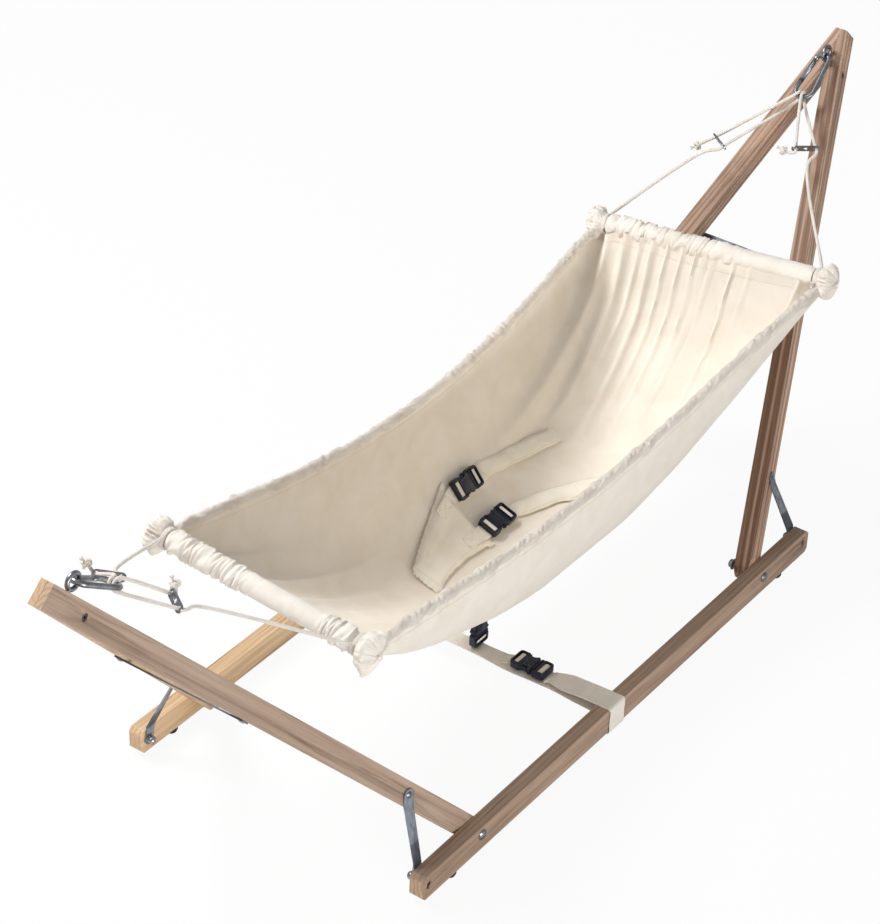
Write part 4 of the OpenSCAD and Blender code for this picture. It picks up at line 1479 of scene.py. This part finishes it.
        def across(share: float, s: float, face: float) -> Vector:
            """Point of a seam below a sleeve."""
            return on_cloth(s, self.surface.angle(s, mix(-0.95, 0.95, share)), face)

        for face in (0.0007, -0.0007):
            for s in (self.sleeve_seam, 1 - self.sleeve_seam):
                spots += seam(partial(across, s=s, face=face), 0.42)
            for a in (self.hem_seam, 180 - self.hem_seam):
                spots += seam(lambda share, a=a, face=face: on_cloth(mix(0.03, 0.97, share), a, face), 1.0)
        return piece(stitches(spots), "hammock_stitching", self.look.thread, "cradle", Slot.COTTON)

    def sleeve(self, rod: Rod, smooth_from: float, smooth_to: float) -> bpy.types.Object:
        """The gathered sleeve round a rod, with a rosette at each end.

        Args:
            rod: The rod.
            smooth_from: Start of the smooth stretch, from -1 at the right end to 1.
            smooth_to: End of it.

        Returns:
            The piece.
        """
        reach = rod.length - 0.0262

        def tube_place(u: float, v: float) -> Vector:
            """Point of the sleeve."""
            t = mix(-reach, reach, u)
            share = t / rod.length
            angle = FULL_TURN * v
            calm = ease(smooth_from - 0.15, smooth_from, share)
            calm *= 1 - ease(smooth_to, smooth_to + 0.15, share)
            swell = (1 - 0.85 * calm) * (0.6 + 0.4 * ease(0.3, 0.9, abs(share)))
            along = t / 0.006 + wobble(t * 40, 1, 3) * 1.6 + math.sin(angle) * 0.9
            ridge = 1 - abs(wobble(along, math.cos(angle) * 0.5, math.sin(angle) * 0.5)) * 2.2
            neck = ease(0, 0.02, u) * ease(0, 0.02, 1 - u)
            radius = mix(0.0118, self.sleeve_radius - 0.001 + 0.0042 * swell * ridge, neck)
            return rod.around(t, max(radius, self.sleeve_inner), angle)

        bm = thickened(skin(tube_place, 320, 44, (2 * reach, 0.09), closed=True), 0.0007)
        bm = joined([bm, *(self.rosette(rod, side) for side in Side)])
        name, stands_for = f"{rod.name}_gathered_sleeve", [f"{rod.name}_sleeve"]
        return piece(bm, name, self.look.gather, "cradle", Slot.COTTON, stands_for, CLOTH_CREASE)

    def rosette(self, rod: Rod, side: Side) -> Mesh:
        """The scrunched cloth outside a rod knot.

        Args:
            rod: The rod.
            side: End of the rod.

        Returns:
            The mesh.
        """
        start, stop = rod.length - 0.0205, rod.length + 0.0045
        big = 1.12 if rod.name == "foot" and side is Side.RIGHT else 0.96

        def place(u: float, v: float) -> Vector:
            """Point of the rosette."""
            angle = FULL_TURN * v
            for (u0, r0), (u1, r1) in zip(self.rosette_profile, self.rosette_profile[1:]):
                if u <= u1:
                    break
            radius = mix(r0, r1, (u - u0) / (u1 - u0)) * MM
            full = math.sin(math.pi * min(u * 1.05, 1))
            seed = 11 * side.value + (5 if rod.name == "head" else 0)
            c, up = math.cos(angle), math.sin(angle)
            ripple = wobble(c * 2.3, up * 2.3, u * 1.6 + seed)
            pleat = ridges(c * 4.6, up * 4.6, u * 0.9 + seed)
            leaf = wobble(c * 1.5, up * 1.5, u * 4.2 + seed * 2)
            radius *= 1 + (0.22 * ripple + 0.16 * leaf) * full
            ruffle = 0.0036 * pleat - 0.0012 + 0.005 * max(-up, 0)
            radius = max(radius * mix(1, big, full), 0) + full * ruffle
            if u < 0.75:
                radius = max(radius, self.rosette_inner)
            tuft = (0.002 * pleat - 0.0035 * max(leaf, 0)) * ease(0.3, 0.9, u)
            return rod.around(side.value * (mix(start, stop, min(u * 1.12, 1)) + tuft), radius, angle)

        return skin(place, 40, 120, (0.05, 0.11), closed=True)

    def build(self) -> bpy.types.Object:
        cloth = self.cloth()
        trims = [self.hem(side) for side in Side]
        trims.append(self.sleeve(self.surface.head, -0.82, -0.3))
        trims.append(self.sleeve(self.surface.foot, -0.5, 0.05))
        trims.append(self.seams())
        log.info("hammock: %d pieces", 1 + len(trims))
        return cloth


class BuckleHalf(Enum):
    """Halves of a side release buckle."""

    SOCKET = "socket"
    PLUG = "plug"


@dataclass
class SideReleaseBuckle:
    """A side release buckle along X on the XY plane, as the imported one."""

    length: float = 0.052
    width: float = 0.030
    height: float = 0.011
    mouth: float = 0.12
    webbing: float = 0.022
    window: float = 0.0095
    bar: float = 0.0024
    side_window: float = 0.0079
    thumb: float = 0.0052
    over: float = 0.002

    def slot(self, x: float) -> Mesh:
        """Cutter for a webbing slot that starts at x."""
        half = self.webbing / 2 + 0.0004
        return slab((x, -half, -self.over), (x + self.window, half, self.height + self.over), 0.0012)

    def loops(self, places: Sequence[Matrix], reach: float = 0.006) -> list[Mesh]:
        """Webbing that comes up through the window at each end of each buckle.

        Args:
            places: Transform of each buckle.
            reach: How far it shows beyond the ends.

        Returns:
            The meshes.
        """
        half = self.length / 2
        bar = half - self.bar
        line = (
            (half + reach, 0.0022), (half + reach * 0.5, 0.0012), (half - 0.0012, 0.0009),
            (bar - 0.0006, 0.0042), (bar - 0.0022, 0.0086), (bar - self.window * 0.55, 0.0094),
            (bar - self.window + 0.0008, 0.0088), (bar - self.window - 0.0012, 0.0064),
        )
        parts = []
        for place in places:
            for end in (-1, 1):
                route = smooth_route([Vector((end * x, 0, z)) for x, z in line], 0.0008)
                loop = strip(route, [Vector((0, 1, 0))] * len(route), self.webbing - 0.0012, 0.0011)
                parts.append(moved(loop, place))
        return parts

    def socket(self) -> Mesh:
        """The half with the side windows."""
        end = self.length * self.mouth
        w = self.width / 2
        body = slab((-self.length / 2, -w, 0), (end, w, self.height), 0.005, 0.0016)
        cutters = [self.slot(-self.length / 2 + self.bar)]
        for side in (-1, 1):
            window = disc(self.side_window, self.height + 2 * self.over, 40)
            cutters.append(moved(window, Matrix.Translation((end - 0.011, side * (w + 0.003), -self.over))))
        cutters.append(slab((-0.005, -w + 0.003, 0.002), (0.04, w - 0.003, self.height - 0.002)))
        parts = [carved(body, cutters)]
        sunk, proud = self.height - 0.0006, self.height + 0.0006
        parts.append(slab((-0.0122, -0.0062, sunk), (0.003, 0.0062, proud), 0.003, 0.0005))
        for i in range(3):
            x = -0.0132 + i * 0.0022
            for side in (-1, 1):
                y = side * (w - 0.0042)
                high = (x + 0.0011, y + 0.002, self.height + 0.0005)
                parts.append(slab((x, y - 0.002, sunk), high, 0.0005))
        return joined(parts)

    def plug(self) -> Mesh:
        """The half with the prongs."""
        root = self.length * self.mouth + 0.0003
        w, top = self.width / 2, self.height - 0.003
        body = slab((root, -w, 0), (self.length / 2, w, self.height), 0.0045, 0.0016)
        dip_low = (root + 0.0024, -w - 0.001, self.height - 0.0018)
        dip = slab(dip_low, (root + 0.0064, w + 0.001, self.height + self.over))
        parts = [carved(body, [self.slot(self.length / 2 - self.bar - self.window), dip])]
        for side in (-1, 1):
            y = side * (w - 0.0053)
            parts.append(slab((-0.004, y - 0.002, 0.003), (root + 0.005, y + 0.002, top), 0.0015, 0.0008))
            thumb = disc(self.thumb, 0.006, 28)
            bmesh.ops.scale(thumb, vec=(1.25, 0.62, 1), verts=thumb.verts)
            parts.append(moved(thumb, Matrix.Translation((-0.0035, side * (w - 0.0063), 0.0025))))
        parts.append(slab((-0.004, -0.002, 0.003), (root + 0.005, 0.002, top), 0.0015, 0.0006))
        return joined(parts)

    def pair(self, name: str, places: Sequence[Matrix], look: Look, body: str) -> None:
        """Both halves at each place, as one piece for all sockets and one for all plugs.

        Args:
            name: What the buckles are on, as their nodes are named.
            places: Transform of each buckle.
            look: Material.
            body: Body that they move with.
        """
        plural = "s" if len(places) > 1 else ""
        for half, make in ((BuckleHalf.SOCKET, self.socket), (BuckleHalf.PLUG, self.plug)):
            bm = joined([moved(make(), place) for place in places])
            stands_for = [f"{name}_{half.value}{plural}"]
            piece(bm, f"{name}_buckle_{half.value}", look, body, Slot.PLASTIC, stands_for, crease=35)


@dataclass
class Harness:
    """Padded crotch panel, shoulder straps and their buckles on the hammock floor."""

    look: Finishes
    surface: ClothSurface = field(default_factory=ClothSurface)
    buckle: SideReleaseBuckle = field(default_factory=SideReleaseBuckle)
    panel_from: float = 0.38
    panel_to: float = 0.535
    panel_gap: float = 0.0044
    strap_gap: float = 0.0012
    strap_to: float = 0.75
    strap_angle: float = 14.0
    lift: float = 0.0024
    lean: float = 30.0
    lean_from: float = 0.33
    lean_span: float = 0.45
    drape: float = 0.0011
    panel_thickness: float = 0.0062
    panel_half: tuple[float, float] = (10, 24)
    pad_cell: float = 0.0019
    pad_sinks: float = 0.0004
    pad_swells: float = 0.0018
    fill_frames: int = 20
    fill_pressure: float = 4
    tab_thickness: float = 0.0012
    tab_seam: float = 0.0085
    tab_cross: float = 0.008
    panel_seam: float = 0.84
    thread_height: float = 0.0002

    @property
    def buckle_s(self) -> float:
        """Place of the buckles along the cloth."""
        return self.panel_to + (self.buckle.length / 2 + self.panel_gap) / self.surface.span

    def middle(self, s: float) -> float:
        """Angle of the harness's middle line, which lies over towards the left."""
        return 90 + self.lean * math.sin(math.pi * (s - self.lean_from) / self.lean_span)

    def half_angle(self, u: float) -> float:
        """Half width of the panel in degrees, at a share of its length."""
        return mix(*self.panel_half, max(u, 0) ** 1.5) - 0.6

    def on_cloth(self, s: float, a: float, lift: float) -> Matrix:
        """Transform that lays a piece flat on the inside of the cloth.

        Args:
            s: Place along the cloth.
            a: Place across it, in degrees.
            lift: Height above it.

        Returns:
            The transform.
        """
        along = self.surface.along(s, a)
        up = -self.surface.normal(s, a)
        over = up.cross(along)
        up = along.cross(over)
        matrix = Matrix((along, over, up)).transposed().to_4x4()
        matrix.translation = self.surface.at(s, a, -lift)
        return matrix

    def panel_place(self, u: float, v: float) -> Vector:
        """Point of the crotch panel's skin, with v round its section from the left edge over the top."""
        angle = FULL_TURN * v
        across, up = signed_power(math.cos(angle), 0.62), math.sin(angle)
        s = mix(self.panel_from, self.panel_to, u)
        end = min(1.0, 6 * u + 0.2, 9 * (1 - u) + 0.35)
        rim = 0.3 + 0.7 * (1 - abs(across) ** 5)
        pleat = ridges(across * (3.4 - 1.2 * u) + 2, u * 1.7, 6)
        cross = wobble(across * 1.3, u * 6.5, 9)
        thick = self.panel_thickness * end * rim
        top = thick + (0.0014 * pleat + 0.0007 * cross) * end * (1 - abs(across) ** 6)
        height = top * (0.5 + 0.5 * signed_power(up, 0.5))
        return self.surface.at(s, self.middle(s) + across * self.half_angle(u), -self.drape - height)

    def panel(self) -> BVHTree:
        """The padded crotch panel, filled by a cloth simulation.

        Returns:
            A tree of its faces, to lay the seams on.
        """
        bm = capped(skin(self.panel_place, 60, 96, (0.15, 0.2), closed=True))
        obj = loose_object(bm, "panel_pad")
        even = obj.modifiers.new("even", "REMESH")
        even.mode = "VOXEL"
        even.voxel_size = self.pad_cell
        bpy.context.view_layer.update()
        pad = loose_object(baked(obj), "panel_pad")
        before = [v.co.copy() for v in pad.data.vertices]
        facing = [v.normal.copy() for v in pad.data.vertices]
        self.inflate(pad)
        for vert, start, way in zip(pad.data.vertices, before, facing):
            step = vert.co - start
            cap = self.pad_sinks if way.z < 0 else self.pad_swells
            if step.length > cap:
                vert.co = start + step.normalized() * cap
        soft = pad.modifiers.new("soft", "SMOOTH")
        soft.factor = 0.5
        soft.iterations = 2
        bpy.context.view_layer.update()
        bm = baked(pad)
        tree = BVHTree.FromBMesh(bm)
        stands_for = ["crotch_panel"]
        panel = piece(
            bm, "padded_crotch_panel", self.look.padded, "cradle", Slot.PADDED, stands_for, CLOTH_CREASE)
        return tree

    def on_panel(self, tree: BVHTree, u: float, across: float, above: float | None = None) -> Vector:
        """Point on top of the crotch panel.

        Args:
            tree: Faces of the panel.
            u: Share of its length.
            across: Place across it, from -1 to 1.
            above: Height above it, or None for that of the thread.

        Returns:
            The point.
        """
        above = self.thread_height if above is None else above
        s = mix(self.panel_from, self.panel_to, u)
        a = self.middle(s) + across * self.half_angle(u)
        way = self.surface.normal(s, a)
        start = self.surface.at(s, a, -0.04)
        hit = tree.ray_cast(start, way)[0]
        return (hit if hit else self.surface.at(s, a, -self.drape - 0.004)) - way * above

    def inflate(self, pad: bpy.types.Object) -> None:
        """Fills a pad by pressure and applies what comes of it.

        Args:
            pad: The object, whose mesh is changed.
        """
        cloth = pad.modifiers.new("fill", "CLOTH")
        cloth.settings.use_pressure = True
        cloth.settings.uniform_pressure_force = self.fill_pressure
        cloth.settings.effector_weights.gravity = 0
        cloth.point_cache.frame_start = 1
        cloth.point_cache.frame_end = self.fill_frames
        scene = bpy.context.scene
        for number in range(1, self.fill_frames + 1):
            scene.frame_set(number)
        graph = bpy.context.evaluated_depsgraph_get()
        shown = pad.evaluated_get(graph).to_mesh()
        spots = [v.co.copy() for v in shown.vertices]
        pad.modifiers.remove(cloth)
        scene.frame_set(1)
        for vert, spot in zip(pad.data.vertices, spots):
            vert.co = spot

    def strap_start(self) -> float:
        """Place along the cloth where the shoulder straps leave their buckles."""
        return self.buckle_s + (self.buckle.length / 2 + self.strap_gap) / self.surface.span

    def strap_place(self, side: Side, u: float, v: float) -> Vector:
        """Point of a shoulder strap's skin, with v round its section from the left edge over the top."""
        angle = FULL_TURN * v
        across, up = signed_power(math.cos(angle), 0.7), math.sin(angle)
        s = mix(self.strap_start() + 0.003, self.strap_to, u)
        neck = ease(0, 0.07, u)
        wander = 1.6 * wobble(u * 4, side.value * 5, 0)
        half = mix(3.6, 5.2, neck) * (1 + 0.1 * wobble(u * 9, side.value, 4))
        a = self.middle(s) + side.value * mix(self.strap_angle, self.strap_angle + 6, u)
        a += wander * neck + across * half
        crumple = ridges(u * 15 + across * 1.6 * side.value, across * 0.9, side.value * 8)
        inner = 1 - abs(across) ** 4
        thick = mix(0.0018, 0.0052, neck) * (1 - 0.75 * ease(0.93, 1, u)) * (0.35 + 0.65 * inner)
        top = thick + 0.0013 * crumple * neck * inner
        return self.surface.at(s, a, -self.drape - top * (0.5 + 0.5 * signed_power(up, 0.6)))

    def strap(self, side: Side) -> None:
        """A padded shoulder strap up the backrest, with a seam along each edge.

        Args:
            side: Side of the cloth.
        """
        bm = capped(skin(partial(self.strap_place, side), 150, 44, (0.2, 0.06), closed=True))
        name = side.name.lower()
        pad = piece(
            bm, f"padded_strap_{name}", self.look.padded, "cradle", Slot.CREAM_WEBBING,
            [f"shoulder_strap_{name}"], CLOTH_CREASE,
        )

        def edge(share: float, v: float) -> Vector:
            """Point on a seam of the strap, for a share of the seam."""
            u = mix(0.03, 0.97, share)
            out = self.surface.normal(mix(self.strap_start(), self.strap_to, u), 90)
            return self.strap_place(side, u, v) - out * self.thread_height

        spots = [spot for v in (0.12, 0.38) for spot in seam(partial(edge, v=v), 0.2)]
        piece(stitches(spots), f"strap_stitching_{name}", self.look.thread, "cradle", Slot.CREAM_WEBBING)

    def tabs(self, tree: BVHTree) -> None:
        """Webbing sewn on the panel and running into the buckles, and the panel's seams.

        Args:
            tree: Faces of the panel.
        """
        parts, spots = [], []
        for side in Side:
            s_end = self.buckle_s - (self.buckle.length / 2 - 0.001) / self.surface.span
            goal_a = self.middle(s_end) + side.value * self.strap_angle
            goal = self.surface.at(s_end, goal_a, -self.lift - 0.0022)
            share = side.value * self.strap_angle / 23
            line = [self.on_panel(tree, u, share, 0.0008) for u in (0.72, 0.78, 0.84, 0.9, 0.95)]
            between = goal.lerp(line[-1], 0.45) - self.surface.normal(s_end, goal_a) * 0.001
            route = smooth_route([*line, between, goal], 0.0015)
            square = self.surface.normal(mix(self.panel_from, self.panel_to, 0.9), goal_a)
            across = [heading(route, i).cross(square).normalized() for i in range(len(route))]
            parts.append(strip(route, across, self.buckle.webbing - 0.001, self.tab_thickness))
            edge, corner = self.tab_seam, self.tab_cross
            box = (
                ((0.03, -edge), (0.6, -edge), 0.028), ((0.03, edge), (0.6, edge), 0.028),
                ((0.03, -edge), (0.03, edge), 0.017), ((0.03, -corner), (0.5, corner), 0.028),
                ((0.03, corner), (0.5, -corner), 0.028),
            )
            for (u1, off1), (u2, off2), length in box:
                spots += seam(lambda x: self.sewn(route, across, mix(u1, u2, x), mix(off1, off2, x)), length)
        for edge in (-self.panel_seam, self.panel_seam):
            spots += seam(lambda x: self.on_panel(tree, mix(0.06, 0.95, x), edge), 0.15)
        for share, reach, length in ((0.94, self.panel_seam, 0.1), (0.07, 0.8, 0.05)):
            spots += seam(lambda x: self.on_panel(tree, share, mix(-reach, reach, x)), length)
        places = self.places()
        parts += self.buckle.loops(places)
        piece(joined(parts), "harness_webbing", self.look.webbing, "cradle", Slot.CREAM_WEBBING, crease=60)
        piece(stitches(spots), "harness_stitching", self.look.thread, "cradle", Slot.PADDED)

    def sewn(self, route: Sequence[Vector], across: Sequence[Vector], share: float, off: float) -> Vector:
        """Point on top of a webbing tab.

        Args:
            route: Points of the tab's middle line.
            across: Direction of its width at each point.
            share: Place along it.
            off: Place across it in metres.

        Returns:
            The point.
        """
        i = min(max(share, 0), 1) * (len(route) - 1)
        low = int(min(i, len(route) - 2))
        spot = route[low].lerp(route[low + 1], i - low)
        square = self.surface.normal(self.panel_to, self.middle(self.panel_to))
        return spot + across[low] * off - square * 0.0004

    def places(self) -> list[Matrix]:
        """Transforms of the two buckles."""
        middle = self.middle(self.buckle_s)
        return [self.on_cloth(self.buckle_s, middle + side * self.strap_angle, self.lift) for side in (-1, 1)]

    def build(self) -> None:
        """Builds the harness."""
        tree = self.panel()
        for side in Side:
            self.strap(side)
        self.tabs(tree)
        self.buckle.pair("harness", self.places(), self.look.plastic, "cradle")
        log.info("harness built")


@dataclass
class Anchor:
    """Band round both rails, its buckles, and the tether to the hammock."""

    look: Finishes
    buckle: SideReleaseBuckle = field(default_factory=SideReleaseBuckle)
    x: float = -0.034
    width: float = 0.034
    middle_z: float = 0.034
    buckle_y: float = 0.096
    tether_y: float = -0.012
    tether_tail: float = 0.003
    rail_inner: float = 0.207
    rail_outer: float = 0.227
    rail_top: float = 0.044
    rail_low: float = 0.008
    rail_gap: float = 0.00105
    corner: float = 0.0016
    upper_from: float = 0.0385
    thickness: float = 0.0013
    short_thickness: float = 0.0012

    def half_route(self, side: Side) -> list[Vector]:
        """Middle line of the band from a buckle round the rail and back to the middle.

        Args:
            side: Side of the stand.

        Returns:
            Points of the route.
        """
        y_in, y_out = self.rail_inner - self.rail_gap, self.rail_outer + self.rail_gap
        z_up, z_down = self.rail_top + self.rail_gap, self.rail_low - self.rail_gap
        corner = self.corner
        flat = [
            (self.buckle_y + self.buckle.length / 2 + 0.004, 0.0385), (self.buckle_y + 0.042, 0.0402),
            (self.buckle_y + 0.06, 0.0418), (0.19, z_up - 0.0006), (y_in + 0.006, z_up),
            (y_out - corner, z_up), (y_out, z_up - corner), (y_out, 0.026), (y_out, z_down + corner),
            (y_out - corner, z_down), (y_in + corner, z_down), (y_in, z_down + corner), (y_in, 0.026),
            (y_in - 0.004, 0.0302), (y_in - 0.014, 0.0312), (0.15, 0.0322), (0.09, 0.0331), (0.03, 0.0338),
            (0.0, self.middle_z),
        ]
        return [Vector((self.x, side.value * y, z)) for y, z in flat]

    def share(self, point: Vector) -> float:
        """Share of the band's full width at a point, narrower at the middle and at the buckles."""
        y = abs(point.y)
        if point.z > self.upper_from and y < self.rail_inner - 0.01:
            return mix(0.66, 1.0, ease(self.buckle_y + 0.03, self.buckle_y + 0.06, y))
        if y < self.rail_inner - 0.012:
            return mix(0.74, 0.98, ease(0.05, 0.17, y))
        return 1.0

    def band(self, places: Sequence[Matrix]) -> None:
        """The band, the short loops to its buckles and the webbing in their windows.

        Args:
            places: Transform of each buckle.
        """
        right = self.half_route(Side.RIGHT)
        left = self.half_route(Side.LEFT)
        whole = smooth_route(right + left[-2::-1], 0.0022)
        last = len(whole) - 1
        shares = [self.share(point) for point in whole]
        route, across = [], []
        for point, share in zip(whole, shares):
            y = abs(point.y)
            low_strand = point.z < self.upper_from and y < self.rail_inner - 0.012
            shift = (1 - share) * self.width / 2 * (-1 if low_strand else 0)
            twist = (0.16 * math.sin(y * 34) + 0.06) * ease(0.02, 0.08, y) * (1 - ease(0.15, 0.195, y))
            tilt = twist if low_strand else -0.5 * twist
            route.append(point + Vector((shift, 0, 0)))
            across.append(Vector((math.cos(tilt), 0, math.sin(tilt))))
        parts = [strip(route, across, self.width, self.thickness, lambda u: shares[round(u * last)])]
        spots = []
        for side in Side:
            inner = self.buckle_y - self.buckle.length / 2
            loop = [(inner - 0.004, 0.0385), (inner - 0.009, 0.0372), (inner - 0.015, 0.0352)]
            short = smooth_route([Vector((self.x - 0.002, side.value * y, z)) for y, z in loop], 0.0015)
            parts.append(self.webbing(short, self.short_thickness))
            for x in (-0.008, 0.008):
                start = Vector((self.x - 0.002 + x, side.value * (inner - 0.022), 0.0352))
                spots += seam(lambda k: start + Vector((0, side.value * 0.008 * k, 0)), 0.009)
            for x in (-0.014, 0.014):
                start = Vector((self.x + x, side.value * (self.rail_inner - 0.004), self.rail_top + 0.0021))
                spots += seam(lambda k: start + Vector((0, side.value * 0.028 * k, 0)), 0.028)
        parts += self.buckle.loops(places, 0.005)
        stands_for = ["band_wrap_right", "band_wrap_left", "band_middle"]
        piece(
            joined(parts), "buckled_band", self.look.webbing, "stand", Slot.CREAM_WEBBING, stands_for,
            WEBBING_CREASE,
        )
        piece(stitches(spots), "band_stitching", self.look.thread, "stand", Slot.CREAM_WEBBING)

    def webbing(self, route: Sequence[Vector], thickness: float) -> Mesh:
        """Webbing of the buckles' width along a route, with its width along X."""
        return strip(route, [Vector((1, 0, 0))] * len(route), self.buckle.webbing - 0.001, thickness)

    def tether(self) -> None:
        """The webbing and buckle from the band up to the hammock."""
        low = self.middle_z + 0.00075 + 0.0006
        middle = low + self.tether_tail + self.buckle.length / 2
        surface = ClothSurface()
        share = (self.x - surface.foot.middle.x) / (surface.head.middle.x - surface.foot.middle.x)
        top = surface.point(share, 90).z - 0.0034
        turn = Matrix.Rotation(QUARTER_TURN, 4, "Y") @ Matrix.Rotation(QUARTER_TURN, 4, "X")
        place = Matrix.Translation((self.x, self.tether_y + self.buckle.height / 2, middle)) @ turn
        parts = self.buckle.loops([place], 0.002)
        for start, stop in ((low, low + 0.004), (middle + self.buckle.length / 2, top)):
            count = max(4, round((stop - start) / 0.002))
            y = self.tether_y + 0.0035
            route = [Vector((self.x, y, mix(start, stop, i / count))) for i in range(count + 1)]
            parts.append(self.webbing(route, self.thickness))
        stands_for = ["tether_webbing"]
        piece(
            joined(parts), "tether_strap", self.look.webbing, "cradle", Slot.CREAM_WEBBING, stands_for,
            WEBBING_CREASE,
        )
        self.buckle.pair("tether", [place], self.look.plastic, "cradle")

    def build(self) -> None:
        """Builds the band and the tether."""
        height = self.middle_z + 0.0025
        places = [
            Matrix.Translation((self.x, side * self.buckle_y, height))
            @ Matrix.Rotation(side * QUARTER_TURN, 4, "Z")
            for side in (-1, 1)
        ]
        self.band(places)
        self.buckle.pair("band", places, self.look.plastic, "stand")
        self.tether()
        log.info("anchor band and tether built")


def main() -> None:
    """Builds the pieces in order."""
    logging.basicConfig(level=logging.INFO, format="%(name)s: %(message)s")
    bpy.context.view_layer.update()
    Studio().build()
    look = Finishes()
    HangingCords(look).build()
    Stand(look).build()
    Suspension(look).build()
    Hammock(look).build()
    Harness(look).build()
    Anchor(look).build()


if __name__ == "__main__":
    main()
